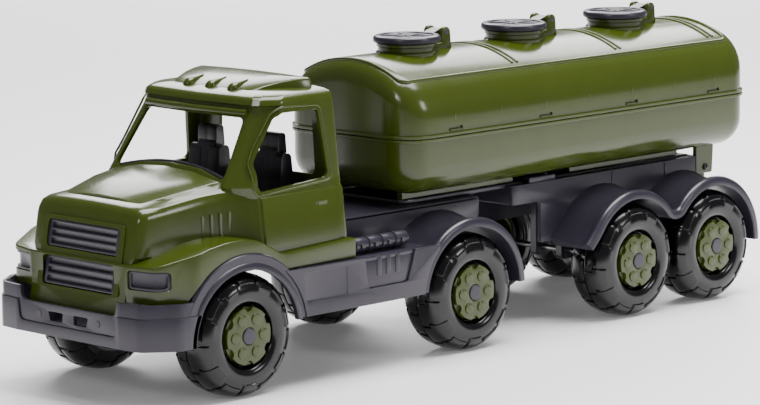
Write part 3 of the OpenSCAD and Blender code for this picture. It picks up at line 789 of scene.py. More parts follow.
def mirrored(piece):
    """The piece and its own copy on the other side."""
    copy = piece.copy()
    copy.data = piece.data.copy()
    bpy.context.scene.collection.objects.link(copy)
    only(copy)
    bpy.ops.object.mode_set(mode="EDIT")
    bpy.ops.mesh.select_all(action="SELECT")
    bpy.ops.transform.resize(value=(-1, 1, 1), center_override=(0, 0, 0))
    face_out()
    return [piece, copy]


def bumper_plan(inset):
    """The bumper from above, open towards the back."""
    side = BODY_X - inset
    return rounded([(-side, 62), (-side, 21 + inset), (-66, 1.6 + inset), (-49, inset), (49, inset),
                    (66, 1.6 + inset), (side, 21 + inset), (side, 62)], [0, 12, 9, 8, 8, 9, 12, 0], 6)


def bumper_step(name, inset, thickness, low, high, notch):
    """One step of the bumper: a band bent round the front, with a notch in its middle."""
    step = plate(name, "plan", bumper_plan(inset), low, high)
    inside = plate("inside", "plan", [(x, y + (1 if y > 60 else 0)) for x,
                                      y in bumper_plan(inset + thickness)],
                   low - 5, high + 5)
    carve(step, [inside, plate("notch", "front", notch, -5, 40), wheel_cut(FRONT_ARCH, ARCH_R)])
    return step


STEP_Z = 58
bumper_band = bumper_step("bumper_band", 0, 3.4, 38, STEP_Z, rounded(
    [(-46, 45), (-48.5, 80), (48.5, 80), (46, 45)], [5, 0, 0, 5]))
bumper_core = bumper_step("bumper_core", 1.1, 2.4, 39, 66.5, rounded(
    [(-45, 57.8), (-47.5, 90), (47.5, 90), (45, 57.8)], [5, 0, 0, 5]))
SLOT = ((5, 53.4), (19, 53.4), (17, 47.6), (5.5, 47.6))
for s in (-1, 1):
    carve(bumper_core, [plate("slot", "front", rounded([(s * x, z) for x, z in SLOT], 0.8, 2), -5, 8)])
soften(bumper_band, 0.8, 3, 25)
soften(bumper_core, 0.8, 3, 25)
chassis_parts = [bumper_band, bumper_core]
for s in (-1, 1):
    chassis_parts.append(soften(plate("boss", "front", [
        (s * 27.8 + 2.3 * math.cos(a),
         50.8 + 2.3 * math.sin(a)) for a in (math.pi * k / 12 for k in range(24))],
        0.8, 1.4), 0.2, 2))

LIP_SECTION = ((BODY_X - 3.6, ARCH_R), (BODY_X - 0.5, ARCH_R), (BODY_X, ARCH_R + 0.5), (BODY_X, ARCH_R + 3.4),
               (BODY_X - 0.5, ARCH_R + 4.2), (BODY_X - 0.9, ARCH_R + 4.4), (BODY_X - 0.9, ARCH_R + 9.2),
               (BODY_X - 1.6, ARCH_R + 10), (BODY_X - 3.6, ARCH_R + 10))
lip = ring_way("arch_lip", LIP_SECTION, FRONT_ARCH, 8.5, 171, 64)
face_out()
smooth(lip, 40)
chassis_parts += mirrored(lip)

SKIRT_FRONT, SKIRT_BACK = wheel_middle["front"] + 21, wheel_middle["drive"] - 34
skirt = plate("skirt", "side", [(SKIRT_FRONT, SKIRT_TOP), (SKIRT_BACK, SKIRT_TOP),
                                (SKIRT_BACK, SKIRT_BOTTOM), (SKIRT_FRONT, SKIRT_BOTTOM)], BODY_X - 3, BODY_X)
carve(skirt, [wheel_cut(FRONT_ARCH, ARCH_R + 7)])
carve(skirt, [wheel_cut((wheel_middle["drive"] - ARCH_LEAD, HUB_Z), MUD_R + 3)])
STEP_RECESS = ((179, 90), (179, 74), (181, 55.2), (217.5, 55.2), (223.5, 74), (227, 90))
carve(skirt, [plate("panel", "side", rounded([(126, 72.4), (162.5, 72.4), (162.5, 54), (127, 54)], 1.5),
                    BODY_X - 0.5, BODY_X + 2)])
carve(skirt, [plate("recess", "side", rounded(STEP_RECESS, [0, 3, 3, 3, 0, 0]), BODY_X - 5, BODY_X + 2)])
soften(skirt, 0.7, 3, 30)
step_plate = plate("step_plate", "side", [(176, SKIRT_TOP - 0.3), (230, SKIRT_TOP - 0.3), (230, 50),
                                          (176, 50)],
                   BODY_X - 4.6, BODY_X - 1.3, 0.4)
skirt_parts = [skirt, step_plate]
for k in range(3):
    y = 190 + 8.3 * k
    rib = plate("step_rib", "side", rounded([(y, SKIRT_TOP - 0.6), (y + 4.2, SKIRT_TOP - 0.6), (y + 4.2, 62),
                                             (y, 62)], [0, 0, 1.5, 1.5]), BODY_X - 3, BODY_X - 0.7)
    skirt_parts.append(soften(rib, 0.5, 3))
skirt_parts.append(bead("step_ridge", [(BODY_X - 0.9, BUMPER + y, z) for y,
                                       z in ((218.4, 56.6), (224.6, 74.4))], 0.9))
for piece in skirt_parts:
    smooth(piece, 35)
    chassis_parts += mirrored(piece)

# a mudguard: a sheet that rises to the frame, and a rolled lip along its outer edge


def guard_section(inner_x, outer_x, radius, rise):
    return ((inner_x, radius), (outer_x - 0.6, radius), (outer_x, radius + 0.6), (outer_x, radius + 3.2),
            (outer_x - 0.6, radius + 4.9), (outer_x - 1.8, radius + 6), (outer_x - 3.4, radius + 6.4),
            (outer_x - 5.4, radius + 6), (outer_x - 6.8, radius + 4.6), (outer_x - 8, radius + 3.4),
            (outer_x - 10, radius + 3), (outer_x - 18, radius + 3 + rise * 0.2),
            (outer_x - 26, radius + 3 + rise * 0.5), (inner_x, radius + 3 + rise))


drive_middle = (wheel_middle["drive"] - ARCH_LEAD, HUB_Z)
guard = ring_way("drive_guard", guard_section(44, BODY_X, MUD_R, 5), drive_middle, 2.5, 169.5, 56)
face_out()
smooth(guard, 40)
chassis_parts += mirrored(guard)

DECK_Z = SKIRT_TOP - 3
FRAME_X, FRAME_TOP = 45, 95
FRAME_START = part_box("cab_shell")[1].y / MM - BUMPER + 14
FRAME_END = min(chassis_high.y / MM - BUMPER, wheel_middle["drive"] + 41)
deck = plate("deck", "plan", [(-BODY_X + 1, 124), (BODY_X - 1, 124), (BODY_X - 1, wheel_middle["drive"] - 43),
                              (-BODY_X + 1, wheel_middle["drive"] - 43)], DECK_Z, SKIRT_TOP, 0.6)
nose_beam = plate("nose_beam", "plan", [(-34, 17), (34, 17), (34, 126), (-34, 126)], DECK_Z - 4, DECK_Z, 0.5)
nose_upright = plate("nose_upright", "plan", [(-34, 17), (34, 17), (34, 21), (-34, 21)], 42, DECK_Z - 1, 0.5)
frame_lid = plate("frame_lid", "plan", rounded(
    [(-FRAME_X, FRAME_START), (FRAME_X, FRAME_START), (FRAME_X, FRAME_END), (-FRAME_X, FRAME_END)], 3),
    FRAME_TOP - 3, FRAME_TOP, 0.8)
carve(frame_lid, [disc("kingpin_way", 4.1, 80, 100, y=BUMPER + wheel_middle["drive"])])
chassis_parts += [deck, nose_beam, nose_upright, frame_lid]
wall_outline = rounded([(FRAME_START, DECK_Z), (FRAME_START, FRAME_TOP - 0.5), (FRAME_END, FRAME_TOP - 0.5),
                        (FRAME_END, 80.6), (wheel_middle["drive"] - 20, DECK_Z)], [1, 2, 2, 4, 1])
frame_wall = plate("frame_wall", "side", wall_outline, FRAME_X - 3, FRAME_X, 0.7)
nose_side = plate("nose_side", "side", [(2, 42), (18, 42), (18, 54.6), (2, 54.6)], 30, 34, 0.5)


def bearer(middle, top, inner_x, bore_from, bore_to):
    """An upright wall with a rounded foot that carries an axle."""
    low, half = 33, 7
    bearing = plate("bearer", "side", rounded([(middle - half, top), (middle + half, top),
                                               (middle + half, low),
                                               (middle - half, low)], [0, 0, 4, 4]), inner_x, inner_x + 6)
    carve(bearing, [cylinder("axle_way", AXLE_WAY_R, bore_from, bore_to, 32, y=BUMPER + middle, z=HUB_Z)])
    return soften(bearing, 0.5, 2, 50)


bearers = [bearer(middle, top, 31, 20, 50) for middle, top in (
    (wheel_middle["front"], DECK_Z - 2), (wheel_middle["drive"], FRAME_TOP - 1))]
for piece in [frame_wall, nose_side] + bearers:
    chassis_parts += mirrored(piece)
for piece in (deck, nose_beam, frame_lid, frame_wall):
    smooth(piece, 35)
for piece in chassis_parts[:2]:
    smooth(piece, 30)
place(chassis_parts, "tractor_chassis_moulding", [CHASSIS], "tractor", "grey_plastic", GREY)

# ---------------------------------------------------------------- tool boxes
# Two grey containers behind the cab, in the shape of four drums laid end to end with a step between them,
# each moulded in one piece and pushed down on the deck.

for side, s in (("left", 1), ("right", -1)):
    low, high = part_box("toolbox_" + side)
    radius = (high.z - low.z) / 2 / MM - 0.9
    middle_x, middle_z = (low.x + high.x) / 2 / MM - s, low.z / MM + radius
    front, back = low.y / MM, high.y / MM - 2
    pitch = (back - front) / 4
    profile = [(0.01, front)]
    for k in range(4):
        y = front + pitch * k
        profile += [(radius - 0.8, y), (radius, y + 0.4), (radius, y + 1.6), (radius - 0.6, y + 2.1),
                    (radius - 0.4, y + pitch * 0.5), (radius - 0.6, y + pitch - 0.5),
                    (radius - 0.8, y + pitch - 0.1)]
    profile.append((0.01, back))
    box = draw("toolbox", [(middle_x, y, middle_z + r) for r, y in profile])
    bpy.ops.mesh.select_all(action="DESELECT")
    bpy.ops.object.mode_set(mode="OBJECT")
    pick(box, "VERT", lambda c: True)
    turn_round(48, (middle_x, 0, middle_z), (0, 1, 0), 0.03)
    smooth(box, 30)
    handles = [box]
    for k in range(4):
        y = front + pitch * (k + 0.5)
        catch = block("catch", (middle_x + s * (radius - 0.9) - 0.6, y - 1.6, middle_z - 1.6),
                      (middle_x + s * (radius - 0.9) + 0.9 * s + 0.6, y + 1.6, middle_z + 1.6))
        handles.append(soften(catch, 0.4, 2))
    place(handles, f"toolbox_{side}_moulding", ["toolbox_" + side], "tractor", "grey_plastic", GREY)

# ---------------------------------------------------------------- trailer chassis
# A warm grey moulding: the coupling plate over the drive wheels steps down into a deep frame, with a double
# mudguard on each side, raised pads under the tank and a block at the back for the tank's brackets.

trailer_low, trailer_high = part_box("trailer_chassis")
PLATE_TOP = 98.2
GOOSE_X, GOOSE_FRONT = 38, trailer_low.y / MM - BUMPER
TRAILER_FRONT = wheel_middle["drive"] + 74
DEEP_FRONT, DEEP_BOTTOM = wheel_middle["bogie"] - 61, 55.5
TRAILER_BACK = wheel_middle["rear"] + 18.5
MUD_X = trailer_high.x / MM
bed = plate("coupling_plate", "plan", rounded(
    [(-GOOSE_X, GOOSE_FRONT), (GOOSE_X, GOOSE_FRONT), (GOOSE_X, TRAILER_BACK), (-GOOSE_X, TRAILER_BACK)],
    [12, 12, 0, 0], 8), 95.35, PLATE_TOP, 0.8)
frame_box = plate("frame_box", "side", rounded(
    [(TRAILER_FRONT, 84), (TRAILER_FRONT, PLATE_TOP - 1), (TRAILER_BACK, PLATE_TOP - 1),
     (TRAILER_BACK, DEEP_BOTTOM),
     (DEEP_FRONT, DEEP_BOTTOM), (DEEP_FRONT, 84)], [1, 0, 0, 1, 1, 2.5]), -FRAME_X, FRAME_X)
carve(frame_box, [plate("outline", "plan", rounded(
    [(-FRAME_X, TRAILER_FRONT), (FRAME_X, TRAILER_FRONT), (FRAME_X, TRAILER_BACK), (-FRAME_X, TRAILER_BACK)],
    [5, 5, 1, 1], 6), 40, 110)], "INTERSECT")
carve(frame_box, [block("hollow", (-FRAME_X + 3, BUMPER + TRAILER_FRONT + 3, 40),
                        (FRAME_X - 3, BUMPER + TRAILER_BACK - 3, 92))])
soften(frame_box, 1.1, 3, 30)
smooth(frame_box, 35)
trailer_parts = [bed, frame_box]
pad = plate("bed_pad", "side", rounded([(373, 96), (373, 101), (399, 101), (399, 96)], [0, 1, 1, 0]),
            FRAME_X - 8, FRAME_X - 1.2, 0.7)
pad_screw = disc("pad_screw", 2.2, 100.5, 102.2, x=FRAME_X - 6, y=BUMPER + 393, sides=32)
soften(pad_screw, 0.5, 2)
RIB_AT, RIB_W = (455.4, 511.4), 1.6
wall_ribs = [plate("wall_rib", "side", [(y, 96), (y + RIB_W, 96), (y + RIB_W, 84), (y, 84)],
                   FRAME_X - 1, FRAME_X + 0.5, 0.3) for y in RIB_AT]
for piece in [pad, pad_screw] + wall_ribs:
    smooth(piece, 35)
    trailer_parts += mirrored(piece)
for middle in (wheel_middle["bogie"], wheel_middle["rear"]):
    trailer_parts += mirrored(bearer(middle, 94, 9, 0, 30))

VALLEY_R = 7
BOGIE = (wheel_middle["bogie"], HUB_Z)
REAR = (wheel_middle["rear"], HUB_Z)
guard_r = MUD_R - 1
lip_r = guard_r + 6.4
half_pitch = (REAR[0] - BOGIE[0]) / 2
valley = ((BOGIE[0] + REAR[0]) / 2, HUB_Z + math.sqrt((lip_r + VALLEY_R) ** 2 - half_pitch ** 2))
rest_turn = math.degrees(math.atan2(valley[1] - HUB_Z, half_pitch))
FOOT_TURN, FOOT_R, FOOT_START = 9, 110, 142
TIP = -1.2
guard = ring_way("double_guard", guard_section(44, MUD_X, guard_r, 5), REAR, TIP, 180 - rest_turn - TIP, 36)
sweep_on(valley, -(180 - 2 * rest_turn), 14)
sweep_on(BOGIE, FOOT_START - rest_turn, 32)
foot_a = math.radians(FOOT_START)
foot = tuple(c + (lip_r + FOOT_R) * f for c, f in zip(BOGIE, (math.cos(foot_a), math.sin(foot_a))))
sweep_on(foot, -FOOT_TURN, 5)
face_out()
smooth(guard, 40)
trailer_parts += mirrored(guard)

tail_wall = plate("tail_wall", "plan", [(-44, TRAILER_BACK - 3), (44, TRAILER_BACK - 3), (44, TRAILER_BACK),
                                        (-44, TRAILER_BACK)], DEEP_BOTTOM, 94, 0.5)
tail_block = plate("tail_block", "plan", rounded([(-41, TRAILER_BACK - 1), (41, TRAILER_BACK - 1),
                                                  (41, TRAILER_BACK + 16), (-41, TRAILER_BACK + 16)],
                                                 [0, 0, 3, 3]), DEEP_BOTTOM + 20, 95)
carve(tail_block, [cylinder("screw_way", 1.2, s * 30, s * 50, 24, y=BUMPER + TRAILER_BACK + 10, z=88.6)
                   for s in (-1, 1)])
soften(tail_block, 0.8, 2, 50)
kingpin = disc("kingpin", 4, 87, 97, y=BUMPER + wheel_middle["drive"], sides=48)
soften(kingpin, 0.8, 2)
for piece in (tail_wall, tail_block, kingpin):
    smooth(piece, 35)
trailer_parts += [tail_wall, tail_block, kingpin]
place(trailer_parts, "trailer_chassis_moulding", ["trailer_chassis"], "trailer", "grey_plastic", GREY)

# ---------------------------------------------------------------- cab shell
# One olive green injection moulding, open underneath: bonnet, wings, sills, cabin and roof. The windows are
# open, and the wall shows at their edges.

WALL = 2.4
CAB_BACK = FRAME_START - 14


def loft(name, rings):
    """A closed skin over outlines that have the same number of points; distances back are from the bumper."""
    piece = join([draw(name, [(x, BUMPER + y, z) for x, y, z in ring]) for ring in rings], name)
    only(piece)
    bpy.ops.object.mode_set(mode="EDIT")
    bpy.ops.mesh.select_all(action="SELECT")
    bpy.ops.mesh.bridge_edge_loops(type="SINGLE")
    bpy.ops.mesh.select_all(action="SELECT")
    bpy.ops.mesh.fill_holes(sides=0)
    face_out()
    return piece


def both_halves(half):
    """A right half outline, from one point on the middle to the other, closed by its mirror image."""
    return half + [(-x, *rest) for x, *rest in reversed(half[1:-1])]


NOSE_LEAN, NOSE_Z, NOSE_FOOT = 0.178, 59, 55
# back at the foot, lean, half width low and high, edge height, panel half width and height, middle height
BONNET = ((8, 1, 45, 45, 115.5, 30, 116.2, 116.8), (9, 1, 47.5, 47.5, 118.6, 33, 119.4, 120.0),
          (11.3, 1, 49.2, 49.2, 120.3, 35, 121.2, 121.9), (15, 1, 50, 50, 121.2, 36, 122.0, 122.9),
          (36, 0.5, 50.6, 50.4, 122.4, 39, 123.9, 125.4), (65, 0, 54.2, 53.6, 125.8, 47, 128.5, 132),
          (78, 0, 57.6, 56.4, 127, 48, 130.4, 135), (84, 0, 60.4, 58.6, 127.4, 50, 131, 136.4),
          (90, 0, 64.6, 61.8, 127.4, 52, 130.4, 136.8), (99, 0, 70.6, 67.1, 126.4, 54, 129, 136.4))


def bonnet(inset=0):
    rings = []
    for k, (y, lean, low_x, high_x, edge_z, panel_x, panel_z, top_z) in enumerate(BONNET):
        foot = NOSE_FOOT if not inset else NOSE_FOOT - 20
        back = y + (inset if k < 4 else 0) - (inset if y == 99 else 0)
        half = [(0, foot), (44.7 - inset, foot), (44 - inset, 85 - inset), (low_x - inset, 92 - inset),
                (high_x - inset, edge_z - 8), (high_x - 0.6 - inset, edge_z - 4.5 - inset / 2),
                (high_x - 2.4 - inset, edge_z - 1.6 - inset), (high_x - 5.6 - inset, edge_z - inset),
                (panel_x - inset, panel_z - inset), (panel_x * 0.5, (panel_z + top_z * 3) / 4 - inset),
                (0, top_z - inset)]
        rings.append(both_halves([(x, back + lean * NOSE_LEAN * (z - NOSE_Z), z) for x, z in half]))
    return loft("bonnet", rings)


# height, half width, windscreen line at the middle's side, bow, corner across and back, door step, back
CABIN = ((75.9, 71.4, 86, 0, 13, 13, 1.3, 0), (92, 71.2, 86, 0, 13, 13, 1.3, 0),
         (119.8, 67.7, 86, 0, 13, 13, 1.3, 0),
         (120.9, 67.4, 86, 0, 13, 13, 1.0, 0), (121.6, 67.3, 85.4, 0, 13, 13, 0.1, 1),
         (128, 66.7, 82.7, 3, 13, 12, 0, 1.1),
         (150, 64.7, 97.1, 3, 13.4, 12, 0, 1.6), (170, 62.9, 110.2, 3, 14, 12, 0, 2.2),
         (175.6, 62.3, 113.7, 3, 13, 12, 0, 2.4),
         (176.4, 62.2, 111.4, 3, 12.4, 13, 0, 2.4), (179.4, 61.4, 112.4, 3, 12, 13, 0, 2.7),
         (180.6, 60.6, 113.6, 3, 12, 13, 0, 3),
         (181.6, 59.4, 115.6, 3, 12, 12, 0, 3.6), (182.9, 56, 119.6, 3, 12, 12, 0, 4.8),
         (184.2, 48, 127, 3, 12, 11, 0, 7),
         (185.4, 34, 139, 2, 11, 10, 0, 14))


def cabin(inset=0):
    rings = []
    for z, side_x, front, bow, corner_x, corner_y, step, back in CABIN:
        side_x, front, back = side_x - inset, front + inset * 1.3, CAB_BACK - back - inset
        if inset:
            z = 60 if z < 80 else z - inset * (1 if z > 172 else 0)
            step = 0
        door = max(94, front + corner_y + 2)
        half = [(0, front - bow), (side_x - corner_x, front), (side_x - corner_x + 4.4, front + 3),
                (side_x - 0.3, front + corner_y), (side_x, door),
                (side_x + step, door + 0.9), (side_x + step, CAB_BACK - 9),
                (side_x + step * 0.4, CAB_BACK - 8.4),
                (side_x + step * 0.4, back), (0, back)]
        if back < CAB_BACK - 8.4:
            half[6], half[7] = (side_x, back - 6), (side_x, back - 5)
        outline = rounded(both_halves(half), [0, 1.6, 2.2, 9, 0, 0, 0, 0, 4, 0, 4, 0, 0, 0, 0, 9, 2.2, 1.6],
                          4)
        rings.append([(x, y, z) for x, y in outline])
    return loft("cabin", rings)


WING_TOP = ((4, 86.5), (20, 90), (34, 93.6), (48, 97.2), (62, 99.2), (76, 99.6), (88, 97.6), (98, 93.2),
            (108, 87.6), (114, 86))


def wings(inset=0):
    """Wings and sills, as one slab that the nose and the cabin stand in."""
    sill = 75.9 if not inset else 60
    wing = 65 if not inset else 40
    side = [(y, z - inset) for y, z in WING_TOP]
    side += [(CAB_BACK + 0.5 - inset, 88.4 - inset), (CAB_BACK + 0.5 - inset, sill), (113, sill), (100, wing),
             (side[0][0], wing)]
    slab = plate("wings", "side", side, -90, 90)
    plan = [(-79, 39), (-67, 13.5), (-45, 10), (45, 10), (67, 13.5), (79, 39), (79, 92), (77.6, 112),
            (77.6, CAB_BACK + 20), (-77.6, CAB_BACK + 20), (-77.6, 112), (-79, 92)]
    plan = rounded(plan, [16, 12, 8, 8, 12, 16, 8, 8, 0, 0, 8, 8], 6)
    plan = [(x * (79 - inset) / 79, y + inset if y < 60 else y) for x, y in plan]
    carve(slab, [plate("plan", "plan", plan, 20, 130)], "INTERSECT")
    return slab if inset else soften(slab, 2.6, 4, 30)


shell = cabin()
carve(shell, [bonnet(), wings()], "UNION")
inner = cabin(WALL)
carve(inner, [bonnet(WALL), wings(WALL)], "UNION")
carve(shell, [inner])
WINDSCREEN = ((-51.5, 131.6), (-45.6, 168.6), (45.6, 168.6), (51.5, 131.6), (26, 137.2), (0, 138.8),
              (-26, 137.2))
SIDE_WINDOW = ((103, 124.4), (158, 127.8), (161, 130.5), (156.2, 171.4), (125.5, 171.6), (119.5, 168.7),
               (106.6, 150.7),
               (100.4, 142), (100.4, 128))
REAR_WINDOW = ((-45, 126), (-43, 171), (43, 171), (45, 126))
carve(shell, [plate("windscreen", "front", rounded(WINDSCREEN, [4, 5, 5, 4, 8, 8, 8]), 60, 140),
              plate("side_window", "side", rounded(SIDE_WINDOW, [2, 3, 3, 4, 4, 6, 20, 9, 3]), -90, 90),
              plate("rear_window", "front", rounded(REAR_WINDOW, 5), CAB_BACK - 8, CAB_BACK + 8)])
GRILLE_X, GRILLE_Z = 33.8, {"upper": (91.6, 108.6), "lower": (68.4, 86.8)}
LAMP_X, LAMP_Z = (46, 71.6), (73.5, 85.5)


def opening(name, x, z, radius, y0, y1, gap=0):
    """A round-cornered rectangle in front view."""
    return plate(name, "front", rounded([(x[0] + gap, z[0] + gap), (x[0] + gap, z[1] - gap),
                                         (x[1] - gap, z[1] - gap), (x[1] - gap, z[0] + gap)], radius), y0, y1)


carve(shell, [opening("grille", (-GRILLE_X, GRILLE_X), GRILLE_Z["upper"], 3, 0, 22),
              opening("grille", (-GRILLE_X, GRILLE_X), GRILLE_Z["lower"], 3, 0, 20),
              opening("lamp", LAMP_X, LAMP_Z, 2.4, 0, 36), opening("lamp", (-LAMP_X[1], -LAMP_X[0]), LAMP_Z,
                                                                   2.4, 0, 36),
              wheel_cut(FRONT_ARCH, ARCH_R + 10.3)])
smooth(shell, 30)
shell_parts = [shell]


def side_x(z):
    """Half width of the cabin at a height."""
    for (z0, x0, *_), (z1, x1, *_) in zip(CABIN, CABIN[1:]):
        if z <= z1:
            return x0 + (x1 - x0) * (z - z0) / (z1 - z0)
    return CABIN[-1][1]


def screen_y(z):
    """How far back the windscreen is at a height."""
    return 82.7 + (z - 128) * 0.655


def grown(points, by):
    """An outline moved outwards from its own middle."""
    middle = sum((Vector(p) for p in points), Vector((0, 0))) / len(points)
    return [tuple(Vector(p) + (Vector(p) - middle).normalized() * by) for p in points]


def skin_x(y, z):
    """Half width of the cabin's skin, with its front corner."""
    behind = y - screen_y(z) - 3
    full = side_x(z)
    if behind >= 9:
        return full
    return full - 8.6 + 8.6 * math.sin(math.radians(10 * max(0, behind))) ** 0.9


window_line = rounded(grown(SIDE_WINDOW, 3.6), [3, 4, 4, 6, 6, 8, 24, 12, 4], 5)
for s in (-1, 1):
    ring = [(s * (skin_x(y, z) - 0.3), BUMPER + y, z) for y, z in window_line]
    shell_parts.append(bead("window_bead", ring, 0.75, True))
# header bar under the roof's edge
shell_parts.append(bead("header_bar", [(x, BUMPER + screen_y(171.4) - 2.6 + (x / 47) ** 2 * 2.4, 171.4)
                                       for x in [47 * k / 12 for k in range(-12, 13)]], 2.5))
panel_rings = []
for y, half_x, edge_z, top_z, drop in ((29.6, 36, 121.9, 124.4, 0.5), (30.6, 36, 122.1, 124.6, 0),
                                       (65, 46, 128.5, 132, 0),
                                       (78, 47.4, 130.4, 135, 0), (84, 49, 131, 136.4, 0)):
    half = [(0, edge_z - 3), (half_x, edge_z - 3), (half_x, edge_z), (half_x - 0.8, edge_z + 0.5 - drop),
            (half_x * 0.5, (edge_z + top_z * 3) / 4 + 0.5 - drop), (0, top_z + 0.5 - drop)]
    panel_rings.append([(x, y, z) for x, z in both_halves(half)])
panel = loft("bonnet_panel", panel_rings)
smooth(panel, 25)
shell_parts.append(panel)
# raised frame round both grilles, on the leaning nose
frame_slab = plate("nose_frame", "side", [(7.0 + 7 * NOSE_LEAN, 66), (7.0 + 53 * NOSE_LEAN, 112),
                                          (12 + 53 * NOSE_LEAN, 112), (12 + 7 * NOSE_LEAN, 66)], -60, 60)
carve(frame_slab, [opening("outline", (-38.5, 38.5), (66.5, 111.5), 5, -5, 40)], "INTERSECT")
carve(frame_slab, [opening("grille", (-GRILLE_X, GRILLE_X), GRILLE_Z[k], 3, -5,
                           40) for k in ("upper", "lower")])
shell_parts.append(soften(frame_slab, 0.6, 3, 40))
for k in range(4):
    y = 65.5 + 6 * k
    skin = 53.4 + 1.62 * k
    vent = plate("vent", "side", rounded([(y - 1.2, 93), (y - 1.2, 113 + k * 0.4), (y + 1.2, 113 + k * 0.4),
                                          (y + 1.2, 93)],
                                         [0, 0.6, 0.6, 0]), skin - 3, skin + 1.1)
    shell_parts += mirrored(soften(vent, 0.5, 2, 40))
lock = plate("door_lock", "side", [(147, 110), (147, 114), (157, 114), (157, 108.6), (154, 108.6),
                                   (154, 110)],
             side_x(112), side_x(112) + 1.35)
carve(lock, [plate("lock_slot", "side", [(148, 110.6), (148, 113.4), (149, 113.4), (149, 110.6)], 60, 80)])
shell_parts += mirrored(soften(lock, 0.25, 2, 40))
deflector_rings = []
for y, half_x, top_z in ((120.6, 35.6, 182.4), (123, 36.8, 183.9), (131, 40.4, 186.8), (141, 44.4, 189),
                         (151, 48.2, 190.1),
                         (160.2, 51.2, 190.4), (161.4, 51.2, 189.8)):
    half = [(0, 180), (half_x + 1.6, 180), (half_x + 0.8, top_z - 2.6), (half_x, top_z - 1.2),
            (half_x - 1.6, top_z - 0.5),
            (half_x * 0.5, top_z + 0.1), (0, top_z + 0.3)]
    deflector_rings.append([(x, y, z) for x, z in both_halves(half)])
deflector = loft("roof_deflector", deflector_rings)
smooth(deflector, 30)
shell_parts.append(deflector)
for x in (-20.8, 0, 20.8):
    lamp_rings = []
    for back, radius in ((-3.6, 0.5), (-3.2, 1.8), (-2.2, 2.9), (-0.4, 3.6), (1.6, 3.4), (4.4, 2.5),
                         (7.6, 1.6), (11, 0.8), (14, 0.15)):
        lamp_rings.append([(x + radius * math.cos(a), 122.6 + back,
                            184.0 + 0.34 * back + radius * math.sin(a))
                           for a in (math.pi * n / 8 for n in range(16))])
    lamp = loft("roof_lamp", lamp_rings)
    smooth(lamp, 50)
    shell_parts.append(lamp)
place(shell_parts, "cab_shell_moulding", ["cab_shell"], "tractor", "green_plastic", GREEN)

# ---------------------------------------------------------------- grilles and headlights
# Grey inserts pressed into the nose from behind: two grilles, each with three deep slots between rounded
# bars, and two headlights bent round the corners, each a frame round a sunk lens.

SLOTS = 3
for name, lean_y in (("upper", 13.4), ("lower", 9.4)):
    z0, z1 = GRILLE_Z[name]
    lean = [(lean_y, z0 - 2), (lean_y + (z1 - z0 + 4) * NOSE_LEAN, z1 + 2)]
    insert = plate("grille", "side", [lean[0], lean[1], (lean[1][0] + 4, z1 + 2), (lean[0][0] + 4, z0 - 2)],
                   -40, 40)
    carve(insert, [opening("outline", (-GRILLE_X, GRILLE_X), (z0, z1), 2.8, -5, 40, 0.3)], "INTERSECT")
    pitch = (z1 - z0 - 2.6) / SLOTS
    cutters = []
    for k in range(SLOTS):
        z = z0 + 1.3 + pitch * (k + 0.5)
        y = lean_y + (z - z0 + 2) * NOSE_LEAN
        cutters.append(plate("slot", "front", rounded([(-30.4, z - 1.6), (-30.4, z + 1.6), (30.4, z + 1.6),
                                                       (30.4, z - 1.6)], 1.2),
                             y - 3, y + 1.9))
    carve(insert, cutters)
    soften(insert, 0.45, 2, 40)
    smooth(insert, 40)
    place([insert], f"grille_{name}_moulding", ["grille_" + name], "tractor", "grey_plastic", GREY)


def lamp_band(name, outer, inner):
    """A band that follows the wing's corner between two insets."""
    corner = [(30, 10.2), (45, 10.2), (67, 13.7), (79, 39), (79, 60)]
    line = rounded(corner, [0, 8, 12, 16, 0], 6)
    near = [(x - outer * (x - 30) / 49, y + outer * (1 if y < 30 else 0.3)) for x, y in line]
    far = [(x - inner * (x - 30) / 49, y + inner * (1 if y < 30 else 0.3)) for x, y in line]
    return plate(name, "plan", near + far[::-1], 60, 100)


for side, s in (("left", 1), ("right", -1)):
    lamp = lamp_band("headlight", 0.7, 5)
    carve(lamp, [opening("outline", LAMP_X, LAMP_Z, 2.2, 0, 36, 0.3)], "INTERSECT")
    lens = lamp_band("lens", -3, 2)
    carve(lens, [opening("lens_outline", (LAMP_X[0] + 1.4, LAMP_X[1] - 1.4),
                         (LAMP_Z[0] + 1.5, LAMP_Z[1] - 1.5), 1.6, 0, 36, 0.3)],
          "INTERSECT")
    carve(lamp, [lens])
    soften(lamp, 0.4, 2, 40)
    smooth(lamp, 35)
    if s < 0:
        pick(lamp, "VERT", lambda c: True)
        bpy.ops.transform.resize(value=(-1, 1, 1), center_override=(0, 0, 0))
        face_out()
    place([lamp], f"headlight_{side}_moulding", ["headlight_" + side], "tractor", "grey_plastic", GREY)
